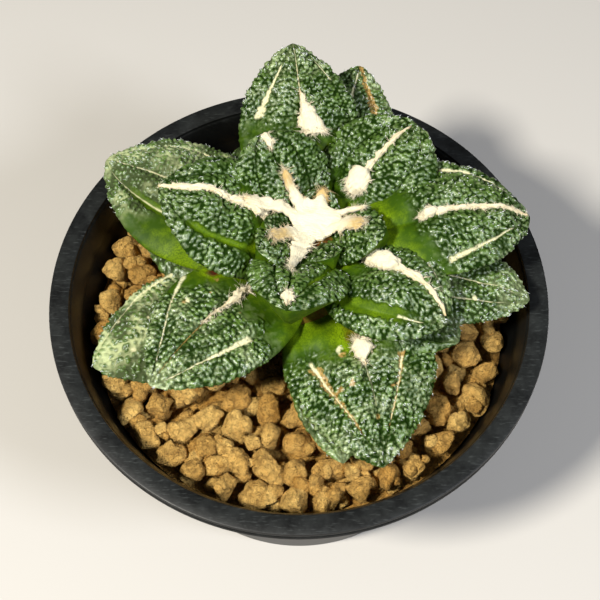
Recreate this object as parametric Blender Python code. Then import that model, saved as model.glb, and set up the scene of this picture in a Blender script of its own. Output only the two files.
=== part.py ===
"""Potted living rock cactus: a black nursery pot, its bed of clay grains, the plant and its wool.

Lengths are in metres, +Z is up, and the origin is the middle of the pot's underside.
The plant is a rosette of flattened, warty tubercles set round a short stem at the golden angle.
"""

import math
import random
from collections import namedtuple

import bmesh
import bpy
import numpy as np
from mathutils import Matrix, Vector
from mathutils.bvhtree import BVHTree

MM = 0.001
CLEARANCE = 0.3 * MM  # the gap between two pieces that touch on the real plant

# Pot
POT_HEIGHT = 62.0 * MM
RIM_RADIUS = 52.5 * MM
MOUTH_RADIUS = 48.4 * MM
FLARE_DEPTH = 7.0 * MM  # the mouth narrows over this depth, then the wall tapers
FLARE_IN = 2.0 * MM
FLARE_POWER = 1.6
MOUTH_SHARES = (0.08, 0.5, 1.0)  # where the flare's depth is cut into rings
WALL = 1.4 * MM
BASE_RADIUS = 36.8 * MM
FOOT_HEIGHT = 3.0 * MM
FOOT_WIDTH = 3.0 * MM
FLOOR = 1.6 * MM
SKIRT_DROP = 3.6 * MM  # depth of the rim's outer skirt
BEAD_GROOVE = 0.5 * MM
EDGE = 0.5 * MM  # size of the rim's rounded edges
POT_SEGMENTS = 48
SHARP_ANGLE = 35.0
DRAIN_RADIUS = 3.2 * MM
DRAIN_CIRCLE = 20.0 * MM
DRAIN_COUNT = 6
DRAIN_SEGMENTS = 10

# Clay grain bed
BED_TOP = POT_HEIGHT - 9.8 * MM  # the level of the top grains' middles
BED_FILL = 1.0 * MM  # how far below that level the gaps between them are filled
GRAIN_SPACING = 6.8 * MM
RING_STEP = 0.9  # distance between rings of grains, in spacings
GRAIN_RADIUS = (2.8 * MM, 3.5 * MM)
GRAIN_SQUASH = (0.75, 1.0)
GRAIN_LUMPS = 0.16  # how far a grain's corners stray, as a share of its radius
GRAIN_JITTER = 0.7 * MM
GRAINS_FROM = 21.0 * MM  # none nearer to the plant's axis, where the rosette hides the bed
GRAIN_RISE = 0.7 * MM
CRATER_RADIUS = 24.0 * MM  # under the rosette the bed lies lower
CRATER_DEPTH = 2.6 * MM
HOLE_RISE = 5.0 * MM  # how far above the bed the crater's cutter reaches
SEED = 11

# Root and stem
AXIS = Vector((2.5 * MM, 5.5 * MM, 0.0))  # the stem stands a little off the pot's centre
ROOT_RADIUS = 15.0 * MM
ROOT_DEPTH = 36.0 * MM
ROOT_POWER = 0.75
ROOT_RINGS = 7
STEM_RADIUS = 17.0 * MM
STEM_SWELL = 4.0 * MM  # height above the bed at which the stem is widest
STEM_TOP = POT_HEIGHT + 14.5 * MM
STEM_RINGS = 4
STEM_SEGMENTS = 20

# Tubercles, youngest first. A tubercle runs from the stem's axis to its tip. lean is how far its
# azimuth strays from the golden angle. reach is how far from the axis its tip lies, tip and root are
# the heights of its two ends above the pot's rim. width is its greatest width, wide says where that
# is, as a share of its length, and taper is how fast it narrows from there to its tip. arch lifts
# its middle, bend shifts it sideways, and keel is the depth of its underside. Lengths are in
# millimetres, lean in degrees.
Tubercle = namedtuple("Tubercle", "lean reach tip root width wide taper arch bend keel")
GOLDEN_ANGLE = 137.5
FIRST_AZIMUTH = 160.0
TUBERCLES = (
    Tubercle(17, 9.5, 19, 8, 7, 0.62, 0.8, 0.5, 0, 4),
    Tubercle(0, 9, 19, 8, 8, 0.62, 0.8, 0.5, 0, 4),
    Tubercle(0, 10, 17.5, 8, 8, 0.62, 0.8, 0.5, 0, 4),
    Tubercle(0, 12.5, 19.5, 7, 12, 0.62, 0.8, 1.0, 0, 5),
    Tubercle(0, 15, 20.5, 7, 13, 0.62, 0.8, 1.2, 0, 6),
    Tubercle(-11, 22, 22, 5, 20, 0.66, 0.65, 1.5, 0, 7),
    Tubercle(-8, 21.5, 21.5, 6, 20, 0.60, 0.8, 2.0, 0, 8),
    Tubercle(4, 32, 20, 3, 24.5, 0.66, 0.65, 1.5, 0, 8),
    Tubercle(-13, 31.5, 21, 3, 26, 0.58, 0.8, 4.0, 1.0, 8),
    Tubercle(5, 33, 14, 3, 25, 0.60, 0.75, 5.0, 0, 8),
    Tubercle(0, 44.3, 20.5, 0, 26, 0.58, 0.85, 1.0, 0, 9),
    Tubercle(-7, 44.5, 11, 1, 26, 0.52, 0.85, 1.5, -1.5, 8),
    Tubercle(-3, 45.5, 12, 4, 26, 0.62, 0.8, 7.0, 0, 8),
    Tubercle(6, 49, 9, -1, 29, 0.58, 0.8, 1.5, 0, 7),
    Tubercle(3, 46, -2, 1, 31, 0.52, 0.9, 2.0, 2.5, 6),
    Tubercle(14, 48.1, 9.6, -2, 23, 0.60, 0.85, 1.0, 0, 6),
    Tubercle(7, 50, 0, -2, 24, 0.58, 0.8, 1.5, 0, 5),
    Tubercle(10, 46, 5, -2, 21, 0.58, 0.8, 5.0, 0, 5),
    Tubercle(3, 34, 2, -3, 20, 0.60, 0.85, 1.0, 0, 5),
    Tubercle(26, 43, -3, -3, 16, 0.60, 0.85, 1.0, 0, 4),
    Tubercle(5, 37, 1, -3, 20, 0.60, 0.85, 1.0, 0, 4),
    Tubercle(2, 36, 0, -3, 20, 0.60, 0.85, 1.0, 0, 4),
    Tubercle(23, 35.5, 3.5, -2, 17, 0.60, 0.8, 1.0, 0, 4),
)
MARGIN_RISE = 0.11  # thickness of the margin, as a share of the half width
CROWN_RISE = 0.15  # further rise of the middle
WART_HEIGHT = 0.45 * MM  # larger than life, as are the warts' sizes
WART_FADE = 4.0 * MM  # warts are lower where the tubercle is narrower than this
FURROW_DEPTH = 0.055  # of the middle and side furrows, as a share of the half width
FURROW_WIDTH = 0.13
SIDE_FURROW = 0.5
TOP_COLUMNS = (-1.0, -0.86, -0.69, -0.5, -0.26, 0.0, 0.26, 0.5, 0.69, 0.86, 1.0)
UNDER_COLUMNS = (0.7, 0.35, 0.0, -0.35, -0.7)
STATIONS = 11
SMALL_WIDTH = 15.0
SMALL_TOP_COLUMNS = (-1.0, -0.76, -0.4, 0.0, 0.4, 0.76, 1.0)
SMALL_UNDER_COLUMNS = (0.5, 0.0, -0.5)
SMALL_STATIONS = 7
ROOT_SHARE = 0.16  # the tubercle's buried start, as a share of its length

# Wool. An arm or a stripe lies along a tubercle's length. A stripe lies between two shares of it,
# shifted sideways. Widths of arms are in degrees, all else in millimetres.
Arm = namedtuple("Arm", "tubercle length width")
Stripe = namedtuple("Stripe", "tubercle start end width shift")
CROWN_CENTRE = Vector((2.6 * MM, 7.6 * MM, 0.0))
CROWN_RADIUS = 4.6 * MM
CROWN_THICK = 1.6 * MM
CROWN_RINGS = (0.06, 0.4, 0.72, 1.0)
CROWN_TURNS = 40
CROWN_ARMS = (
    Arm(4, 5.0, 14),
    Arm(5, 6.5, 13),
    Arm(8, 8.5, 12),
    Arm(3, 4.5, 14),
    Arm(6, 6.5, 13),
)
STRIPES = (
    Stripe(10, 0.56, 0.72, 5.5, -1.8),
    Stripe(7, 0.42, 0.95, 3.6, 0.0),
    Stripe(8, 0.43, 0.95, 2.4, 0.0),
    Stripe(9, 0.45, 0.95, 3.0, 0.0),
    Stripe(12, 0.52, 0.97, 2.0, 0.0),
    Stripe(11, 0.50, 0.64, 2.4, -2.0),
    Stripe(14, 0.51, 0.60, 4.8, 0.6),
    Stripe(6, 0.80, 0.97, 2.2, 0.0),
    Stripe(5, 0.76, 0.96, 2.6, 0.0),
)
STRIPE_STATIONS = 8
STRIPE_COLUMNS = (-1.0, -0.4, 0.4, 1.0)
STRIPE_ENDS = 0.94  # below 1, so that a stripe's ends keep some width
STRIPE_THICK = 0.9 * MM
WOOL_SKIRT = 0.35 * MM  # thickness at the wool's edge
STRIPE_FEEL = 1.0 * MM  # how far round a point of wool the plant is felt for
CROWN_FEEL = 1.6 * MM
STRIPE_CEILING = 4.0 * MM  # above a tubercle's middle line, and below the tubercles over it
CROWN_CEILING = POT_HEIGHT + 40.0 * MM
RAYS = 12


def clear_scene():
    for obj in list(bpy.data.objects):
        bpy.data.objects.remove(obj)


def material(name, colour, roughness):
    made = bpy.data.materials.new(name)
    made.use_nodes = True
    shader = made.node_tree.nodes["Principled BSDF"]
    shader.inputs["Base Color"].default_value = (*colour, 1.0)
    shader.inputs["Roughness"].default_value = roughness
    shader.inputs["Metallic"].default_value = 0.0
    return made


def add_object(name, mesh, finish=None, collection=None):
    obj = bpy.data.objects.new(name, mesh)
    (collection or bpy.context.scene.collection).objects.link(obj)
    if finish:
        mesh.materials.append(finish)
    return obj


def closed_mesh(name, points, faces):
    """A mesh of the points and faces, with its faces turned outwards."""
    mesh = bpy.data.meshes.new(name)
    mesh.from_pydata([tuple(point) for point in points], [], faces)
    bm = bmesh.new()
    bm.from_mesh(mesh)
    bmesh.ops.recalc_face_normals(bm, faces=bm.faces)
    bm.to_mesh(mesh)
    bm.free()
    return mesh


def lathe(name, profile, segments, centre=(0.0, 0.0)):
    """Turns a line of (radius, height) points, which starts and ends on the axis, about that axis."""
    bm = bmesh.new()
    verts = [bm.verts.new((radius, 0.0, height)) for radius, height in profile]
    edges = [bm.edges.new(pair) for pair in zip(verts, verts[1:])]
    turn = {"cent": (0, 0, 0), "axis": (0, 0, 1), "angle": 2 * math.pi}
    bmesh.ops.spin(bm, geom=verts + edges, steps=segments, use_merge=True, **turn)
    bmesh.ops.remove_doubles(bm, verts=bm.verts, dist=0.001 * MM)
    bmesh.ops.recalc_face_normals(bm, faces=bm.faces)
    bmesh.ops.translate(bm, verts=bm.verts, vec=(centre[0], centre[1], 0.0))
    mesh = bpy.data.meshes.new(name)
    bm.to_mesh(mesh)
    bm.free()
    return mesh


def apply_modifiers(obj):
    evaluated = obj.evaluated_get(bpy.context.evaluated_depsgraph_get())
    mesh = bpy.data.meshes.new_from_object(evaluated)
    obj.modifiers.clear()
    obj.data = mesh


def remove_collection(collection):
    for obj in list(collection.objects):
        bpy.data.objects.remove(obj)
    bpy.data.collections.remove(collection)


def join_repeats(obj, collection):
    """Fuses a collection's objects into obj with one Boolean union, and removes them."""
    join = obj.modifiers.new("join", "BOOLEAN")
    join.operation = "UNION"
    join.operand_type = "COLLECTION"
    join.collection = collection
    apply_modifiers(obj)
    remove_collection(collection)


def repeats_collection(name):
    collection = bpy.data.collections.new(name)
    bpy.context.scene.collection.children.link(collection)
    return collection


def inner_radius(height):
    """Radius of the pot's inner wall: a straight taper, then the flared mouth."""
    flare_start = POT_HEIGHT - FLARE_DEPTH
    floor_top = FOOT_HEIGHT + FLOOR
    top = MOUTH_RADIUS - FLARE_IN
    bottom = BASE_RADIUS - WALL
    if height <= flare_start:
        return bottom + (top - bottom) * (height - floor_top) / (flare_start - floor_top)
    return top + FLARE_IN * ((height - flare_start) / FLARE_DEPTH) ** FLARE_POWER


def pot_profile():
    """From the axis below the floor, over the foot, up the outside, over the rim and down the inside."""
    floor_top = FOOT_HEIGHT + FLOOR
    skirt = POT_HEIGHT - SKIRT_DROP
    groove = POT_HEIGHT - 0.5 * SKIRT_DROP
    outer = [
        (0.0, FOOT_HEIGHT),
        (BASE_RADIUS - FOOT_WIDTH, FOOT_HEIGHT),
        (BASE_RADIUS - FOOT_WIDTH, 0.0),
        (BASE_RADIUS, 0.0),
        (inner_radius(skirt) + WALL, skirt + EDGE),
        (RIM_RADIUS - 2 * EDGE, skirt),
        (RIM_RADIUS, skirt + EDGE),
        (RIM_RADIUS, groove - EDGE),
        (RIM_RADIUS - BEAD_GROOVE, groove),
        (RIM_RADIUS, groove + EDGE),
        (RIM_RADIUS, POT_HEIGHT - EDGE),
        (RIM_RADIUS - EDGE, POT_HEIGHT),
        (MOUTH_RADIUS + EDGE, POT_HEIGHT),
    ]
    mouth = [POT_HEIGHT - share * FLARE_DEPTH for share in MOUTH_SHARES]
    inner = [(inner_radius(height), height) for height in mouth]
    return outer + inner + [(inner_radius(floor_top), floor_top), (0.0, floor_top)]


def make_pot(finish):
    pot = add_object("pot", lathe("pot", pot_profile(), POT_SEGMENTS), finish)
    holes = repeats_collection("drain_holes")
    places = [(0.0, 0.0)]
    for number in range(DRAIN_COUNT):
        turn = 2 * math.pi * number / DRAIN_COUNT
        places.append((DRAIN_CIRCLE * math.cos(turn), DRAIN_CIRCLE * math.sin(turn)))
    below = FOOT_HEIGHT - FLOOR
    above = FOOT_HEIGHT + 2 * FLOOR
    profile = [(0.0, below), (DRAIN_RADIUS, below), (DRAIN_RADIUS, above), (0.0, above)]
    for number, place in enumerate(places):
        name = f"drain_hole_{number}"
        add_object(name, lathe(name, profile, DRAIN_SEGMENTS, place), None, holes)
    drill = pot.modifiers.new("drain_holes", "BOOLEAN")
    drill.operation = "DIFFERENCE"
    drill.operand_type = "COLLECTION"
    drill.collection = holes
    apply_modifiers(pot)
    remove_collection(holes)
    pot.data.shade_smooth()
    pot.data.set_sharp_from_angle(angle=math.radians(SHARP_ANGLE))


def root_profile(extra=0.0):
    """The taproot, from its tip up to the bed's surface, with its radius and depth grown by extra."""
    neck = BED_TOP - CRATER_DEPTH
    points = [(0.0, neck - ROOT_DEPTH - extra)]
    for ring in range(1, ROOT_RINGS + 1):
        share = ring / ROOT_RINGS
        points.append((ROOT_RADIUS * share**ROOT_POWER + extra, neck - ROOT_DEPTH * (1 - share)))
    return points


def wall_clear(height):
    """How far out the bed may reach at a height, clear of the flats of the pot's inner wall."""
    return (inner_radius(height) - CLEARANCE) * math.cos(math.pi / POT_SEGMENTS)


def bed_level(distance):
    """Height of the bed's surface at a distance from the plant's axis."""
    share = (distance - ROOT_RADIUS) / (CRATER_RADIUS - ROOT_RADIUS)
    return BED_TOP - CRATER_DEPTH * (1 - min(1.0, max(0.0, share)))


def make_grain(name, place, rng, collection):
    """An angular clay grain: a twenty-faced ball, squashed and turned, with its corners moved.

    A corner that would touch the pot's wall is drawn in.
    """
    radius = rng.uniform(*GRAIN_RADIUS)
    bm = bmesh.new()
    bmesh.ops.create_icosphere(bm, subdivisions=1, radius=radius)
    for vert in bm.verts:
        vert.co *= 1 + rng.uniform(-GRAIN_LUMPS, GRAIN_LUMPS)
        vert.co.z *= rng.uniform(*GRAIN_SQUASH)
    turn = Matrix.Rotation(rng.uniform(0, math.pi), 4, Vector([rng.gauss(0, 1) for _ in range(3)]))
    bm.transform(Matrix.Translation(place) @ turn)
    for vert in bm.verts:
        room = wall_clear(vert.co.z) / max(vert.co.xy.length, MM)
        vert.co.xy *= min(1.0, room)
    mesh = bpy.data.meshes.new(name)
    bm.to_mesh(mesh)
    bm.free()
    add_object(name, mesh, None, collection)


def grain_places(rng):
    """Rings of grains from the wall inwards, jittered, with none far under the rosette."""
    edge = wall_clear(BED_TOP) - GRAIN_RADIUS[0]
    ring = 0
    while edge - ring * GRAIN_SPACING * RING_STEP > 0:
        radius = edge - ring * GRAIN_SPACING * RING_STEP
        count = max(1, round(2 * math.pi * radius / GRAIN_SPACING))
        for number in range(count):
            turn = 2 * math.pi * (number + ring / 2) / count
            distance = radius - abs(rng.uniform(-GRAIN_JITTER, GRAIN_JITTER))
            turn += rng.uniform(-GRAIN_JITTER, GRAIN_JITTER) / radius
            place = Vector((distance * math.cos(turn), distance * math.sin(turn), 0.0))
            from_axis = (place - AXIS).length
            place.z = bed_level(from_axis) + rng.uniform(-GRAIN_RISE, GRAIN_RISE)
            if from_axis > GRAINS_FROM:
                yield place
        ring += 1


def make_bed(finish):
    """The bed is a plug that fills the pot, with a hole for the root and grains fused to its top."""
    rng = random.Random(SEED)
    floor_top = FOOT_HEIGHT + FLOOR
    fill = BED_TOP - BED_FILL
    profile = [(0.0, floor_top + CLEARANCE)]
    for height in (floor_top + CLEARANCE, fill):
        profile.append((wall_clear(height), height))
    profile.append((0.0, fill))
    bed = add_object("clay_grain_bed", lathe("clay_grain_bed", profile, POT_SEGMENTS), finish)

    above = BED_TOP + HOLE_RISE
    slope = (CRATER_RADIUS - ROOT_RADIUS) / CRATER_DEPTH
    neck = BED_TOP - BED_FILL - CRATER_DEPTH
    hole_profile = root_profile(CLEARANCE)
    hole_profile += [(ROOT_RADIUS + slope * (above - neck), above), (0.0, above)]
    centre = (AXIS.x, AXIS.y)
    hole = add_object("root_hole", lathe("root_hole", hole_profile, STEM_SEGMENTS, centre))
    cut = bed.modifiers.new("root_hole", "BOOLEAN")
    cut.operation = "DIFFERENCE"
    cut.object = hole
    apply_modifiers(bed)
    bpy.data.objects.remove(hole)

    grains = repeats_collection("grains")
    for number, place in enumerate(grain_places(rng)):
        make_grain(f"grain_{number}", place, rng, grains)
    join_repeats(bed, grains)


def stem_profile():
    """Root, neck and the low dome from which the tubercles grow."""
    neck = BED_TOP - CRATER_DEPTH
    widest = neck + STEM_SWELL
    points = root_profile()
    for ring in range(STEM_RINGS):
        turn = 0.5 * math.pi * ring / STEM_RINGS
        height = widest + (STEM_TOP - widest) * math.sin(turn)
        points.append((STEM_RADIUS * math.cos(turn), height))
    return points + [(0.0, STEM_TOP)]


def tubercle_axes(number):
    """A tubercle's start on the stem's axis, its tip, and its directions along, across and up."""
    spec = TUBERCLES[number]
    azimuth = math.radians(FIRST_AZIMUTH + GOLDEN_ANGLE * number + spec.lean)
    out = Vector((math.cos(azimuth), math.sin(azimuth), 0.0))
    start = AXIS + Vector((0.0, 0.0, POT_HEIGHT + spec.root * MM))
    tip = AXIS + out * spec.reach * MM + Vector((0.0, 0.0, POT_HEIGHT + spec.tip * MM))
    along = (tip - start).normalized()
    across = Vector((-out.y, out.x, 0.0))
    return start, tip, along, across, along.cross(across)


def half_width(spec, shares):
    """Half the width along the length: it swells from the root to its widest and narrows to the tip."""
    power = spec.taper * spec.wide / (1 - spec.wide)
    peak = spec.wide**power * (1 - spec.wide) ** spec.taper
    return 0.5 * spec.width * MM * shares**power * (1 - shares) ** spec.taper / peak


def tubercle_rings(number, shares, top_columns, under_columns):
    """Points of a tubercle's cross sections, as an array of stations by columns by xyz.

    Across the top the height is a rounded margin and a low crown, with three furrows and, on every
    second point, a wart. Below it is the same margin with a keel.
    """
    spec = TUBERCLES[number]
    start, tip, along, across, up = (np.array(item) for item in tubercle_axes(number))
    half = half_width(spec, shares)[:, None]
    top = np.array(top_columns)[None, :]
    under = np.array(under_columns)[None, :]

    rise = MARGIN_RISE * np.sqrt(1 - np.abs(top) ** 3) + CROWN_RISE * (1 - top**2)
    for place in (-SIDE_FURROW, 0.0, SIDE_FURROW):
        rise = rise - FURROW_DEPTH * np.exp(-(((top - place) / FURROW_WIDTH) ** 2))
    wart = np.add.outer(np.arange(len(shares)), np.arange(top.size)) % 2
    wart = wart * WART_HEIGHT * np.minimum(1, half / WART_FADE) * (np.abs(top) < 1)
    fall = MARGIN_RISE * half * np.sqrt(1 - np.abs(under) ** 3)
    fall = fall + spec.keel * MM * (half / half.max()) * (1 - np.abs(under))

    bow = (4 * shares * (1 - shares))[:, None] * MM
    lift = spec.arch * bow
    sideways = np.hstack([half * top, half * under]) + spec.bend * bow
    height = np.hstack([half * rise + wart + lift, lift - fall])
    centre = start + np.outer(shares * np.linalg.norm(tip - start), along)
    return centre[:, None, :] + sideways[..., None] * across + height[..., None] * up


def add_tubercle(number, collection):
    """Skins a tubercle's rings, with each wart a small pyramid, and closes its two ends."""
    spec = TUBERCLES[number]
    small = spec.width < SMALL_WIDTH
    top_columns = SMALL_TOP_COLUMNS if small else TOP_COLUMNS
    under_columns = SMALL_UNDER_COLUMNS if small else UNDER_COLUMNS
    stations = SMALL_STATIONS if small else STATIONS
    shares = ROOT_SHARE + (1 - ROOT_SHARE) * np.arange(stations) / stations
    rings = tubercle_rings(number, shares, top_columns, under_columns)
    columns = rings.shape[1]
    tip = np.array(tubercle_axes(number)[1])
    points = np.vstack([rings.reshape(-1, 3), rings[0].mean(axis=0), tip])
    root_point = stations * columns
    tip_point = root_point + 1

    faces = []
    for column in range(columns):
        following = (column + 1) % columns
        for station in range(stations - 1):
            a, b = station * columns + column, station * columns + following
            c, d = b + columns, a + columns
            if (station + column) % 2:
                faces += [(a, b, d), (b, c, d)]
            else:
                faces += [(a, b, c), (a, c, d)]
        last = (stations - 1) * columns
        faces += [(following, column, root_point), (last + column, last + following, tip_point)]
    name = f"tubercle_{number}"
    add_object(name, closed_mesh(name, points, faces), None, collection)


def make_plant(finish):
    centre = (AXIS.x, AXIS.y)
    plant = add_object("cactus_body", lathe("stem", stem_profile(), STEM_SEGMENTS, centre), finish)
    tubercles = repeats_collection("tubercles")
    for number in range(len(TUBERCLES)):
        add_tubercle(number, tubercles)
    join_repeats(plant, tubercles)
    return plant


class Surface:
    """The plant seen from above: the height of its highest point near a place and below a ceiling."""

    def __init__(self, obj):
        bm = bmesh.new()
        bm.from_mesh(obj.data)
        self.tree = BVHTree.FromBMesh(bm)
        bm.free()

    def height(self, x, y, ceiling, reach):
        """The highest hit of rays dropped from the ceiling on two circles round the place."""
        high = POT_HEIGHT
        for number in range(2 * RAYS):
            turn = 2 * math.pi * number / RAYS
            spread = reach * (0.5 + 0.5 * (number % 2))
            source = Vector((x + spread * math.cos(turn), y + spread * math.sin(turn), ceiling))
            hit = self.tree.ray_cast(source, Vector((0, 0, -1)))[0]
            if hit:
                high = max(high, hit.z)
        return high


def felt_faces(rows, columns, wrap):
    """Faces of a closed felt: an upper and a lower grid of rows by columns, joined at their edge."""
    lower = rows * columns
    across = columns if wrap else columns - 1
    faces = []
    for row in range(rows - 1):
        for column in range(across):
            a, b = row * columns + column, row * columns + (column + 1) % columns
            c, d = b + columns, a + columns
            faces += [(a, b, c), (a, c, d)]
            faces += [(lower + a, lower + c, lower + b), (lower + a, lower + d, lower + c)]
    edge = [(rows - 1) * columns + column for column in range(columns)]
    if not wrap:
        edge = list(range(columns))
        edge += [row * columns + columns - 1 for row in range(1, rows)]
        edge += [(rows - 1) * columns + column for column in range(columns - 2, -1, -1)]
        edge += [row * columns for row in range(rows - 2, 0, -1)]
    for a, b in zip(edge, edge[1:] + edge[:1]):
        faces += [(a, b, lower + b), (a, lower + b, lower + a)]
    return faces


def add_felt(name, places, domes, wrap, reach, surface, finish):
    """Lays wool on the plant: its underside keeps clear of the plant, its top is domed.

    places and domes are arrays of rows by columns, of xyz places above the plant and of thickness.
    reach is how far round each place the plant is felt for.
    """
    rows, columns = domes.shape
    under = np.empty((rows, columns))
    for row in range(rows):
        for column in range(columns):
            under[row, column] = surface.height(*places[row, column], reach) + CLEARANCE
    flat = places[..., :2].reshape(-1, 2)
    upper = np.column_stack([flat, (under + domes).ravel()])
    lower = np.column_stack([flat, under.ravel()])
    points = np.vstack([upper, lower])
    mesh = closed_mesh(name, points, felt_faces(rows, columns, wrap))
    return add_object(name, mesh, finish)


def make_stripe(number, stripe, surface, finish):
    """A tapered stripe of wool along a tubercle's furrow."""
    start, tip, along, across, up = (np.array(item) for item in tubercle_axes(stripe.tubercle))
    share = np.linspace(0.0, 1.0, STRIPE_STATIONS)[:, None]
    column = np.array(STRIPE_COLUMNS)[None, :]
    body = np.sqrt(1 - (STRIPE_ENDS * (2 * share - 1)) ** 2) * (1.15 - 0.45 * share)
    half = 0.5 * stripe.width * MM * body
    spec = TUBERCLES[stripe.tubercle]
    length = stripe.start + (stripe.end - stripe.start) * share
    bow = 4 * length * (1 - length) * MM
    rise = (MARGIN_RISE + CROWN_RISE) * half_width(spec, length)
    middle = start + length * (tip - start) + spec.bend * bow * across + (spec.arch * bow + rise) * up
    middle[:, 2] += STRIPE_CEILING
    places = middle[:, None, :] + (half * column + stripe.shift * MM)[..., None] * across
    domes = WOOL_SKIRT + STRIPE_THICK * body * (1 - np.abs(column))
    add_felt(f"areole_wool_{number:02d}", places, domes, False, STRIPE_FEEL, surface, finish)


def make_crown_wool(surface, finish):
    """A felt star over the growing point, with an arm up the furrow of each young tubercle."""
    shares = np.array(CROWN_RINGS)[:, None]
    turns = np.arange(CROWN_TURNS) * 2 * math.pi / CROWN_TURNS
    radius = np.full(CROWN_TURNS, CROWN_RADIUS)
    for arm in CROWN_ARMS:
        along = tubercle_axes(arm.tubercle)[2]
        away = np.degrees(turns) - math.degrees(math.atan2(along.y, along.x))
        away = (away + 180) % 360 - 180
        radius = radius + arm.length * MM * np.exp(-((away / arm.width) ** 2))
    reach = shares * radius
    ceiling = np.full(reach.shape, CROWN_CEILING)
    places = np.stack([reach * np.cos(turns), reach * np.sin(turns), ceiling], axis=-1)
    places = places + np.array(CROWN_CENTRE)
    domes = WOOL_SKIRT + CROWN_THICK * (1 - shares**2) * np.ones(CROWN_TURNS)
    felt = add_felt("crown_wool", places, domes, True, CROWN_FEEL, surface, finish)
    bm = bmesh.new()
    bm.from_mesh(felt.data)
    bmesh.ops.holes_fill(bm, edges=bm.edges)
    bmesh.ops.triangulate(bm, faces=bm.faces)
    bmesh.ops.recalc_face_normals(bm, faces=bm.faces)
    bm.to_mesh(felt.data)
    bm.free()


def main():
    clear_scene()
    make_pot(material("black plastic", (0.012, 0.013, 0.014), 0.45))
    make_bed(material("clay grains", (0.47, 0.27, 0.10), 0.95))
    plant = make_plant(material("cactus skin", (0.045, 0.10, 0.03), 0.6))
    surface = Surface(plant)
    make_crown_wool(surface, material("crown wool", (0.80, 0.74, 0.58), 1.0))
    old_wool = material("areole wool", (0.68, 0.60, 0.42), 1.0)
    for number, stripe in enumerate(STRIPES):
        make_stripe(number, stripe, surface, old_wool)


main()
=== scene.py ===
"""Looks of a potted living rock cactus: black nursery pot, clay grains, warty plant and its wool.

Lengths are in metres, +Z is up, and the origin is the middle of the pot's underside.
"""

import itertools
import math
import random
from collections import namedtuple

import bmesh
import bpy
import numpy as np
from bpy.props import FloatProperty, FloatVectorProperty, IntProperty, PointerProperty
from mathutils import Matrix, Vector


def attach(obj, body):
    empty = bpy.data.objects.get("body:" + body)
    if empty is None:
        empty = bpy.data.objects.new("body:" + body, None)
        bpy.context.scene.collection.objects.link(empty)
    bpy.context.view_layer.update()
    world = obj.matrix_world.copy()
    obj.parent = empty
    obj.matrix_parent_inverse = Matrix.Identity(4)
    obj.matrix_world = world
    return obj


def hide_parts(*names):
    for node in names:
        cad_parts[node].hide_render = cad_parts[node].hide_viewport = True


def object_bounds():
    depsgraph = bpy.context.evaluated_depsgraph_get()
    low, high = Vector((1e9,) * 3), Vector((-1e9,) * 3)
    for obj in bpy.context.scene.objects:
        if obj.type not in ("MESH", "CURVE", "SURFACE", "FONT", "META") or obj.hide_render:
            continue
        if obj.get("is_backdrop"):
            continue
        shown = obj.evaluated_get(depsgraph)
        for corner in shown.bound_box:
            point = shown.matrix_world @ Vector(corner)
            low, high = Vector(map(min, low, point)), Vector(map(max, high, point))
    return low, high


bl_info = {
    "name": "Potted Living Rock Cactus",
    "version": (1, 0, 0),
    "blender": (4, 5, 0),
    "location": "3D View > Sidebar > Rock Cactus",
    "description": "Builds a warty living rock cactus in a black nursery pot of clay grains",
    "category": "Add Mesh",
}

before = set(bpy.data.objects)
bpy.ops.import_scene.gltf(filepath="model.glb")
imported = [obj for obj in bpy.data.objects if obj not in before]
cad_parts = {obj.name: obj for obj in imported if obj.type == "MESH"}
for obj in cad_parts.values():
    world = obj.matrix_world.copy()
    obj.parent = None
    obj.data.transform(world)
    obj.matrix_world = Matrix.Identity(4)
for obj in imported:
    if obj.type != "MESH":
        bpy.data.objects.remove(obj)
CAD_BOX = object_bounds()

MM = 0.001
GAP = 0.3 * MM  # between pieces that touch on the real plant

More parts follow.
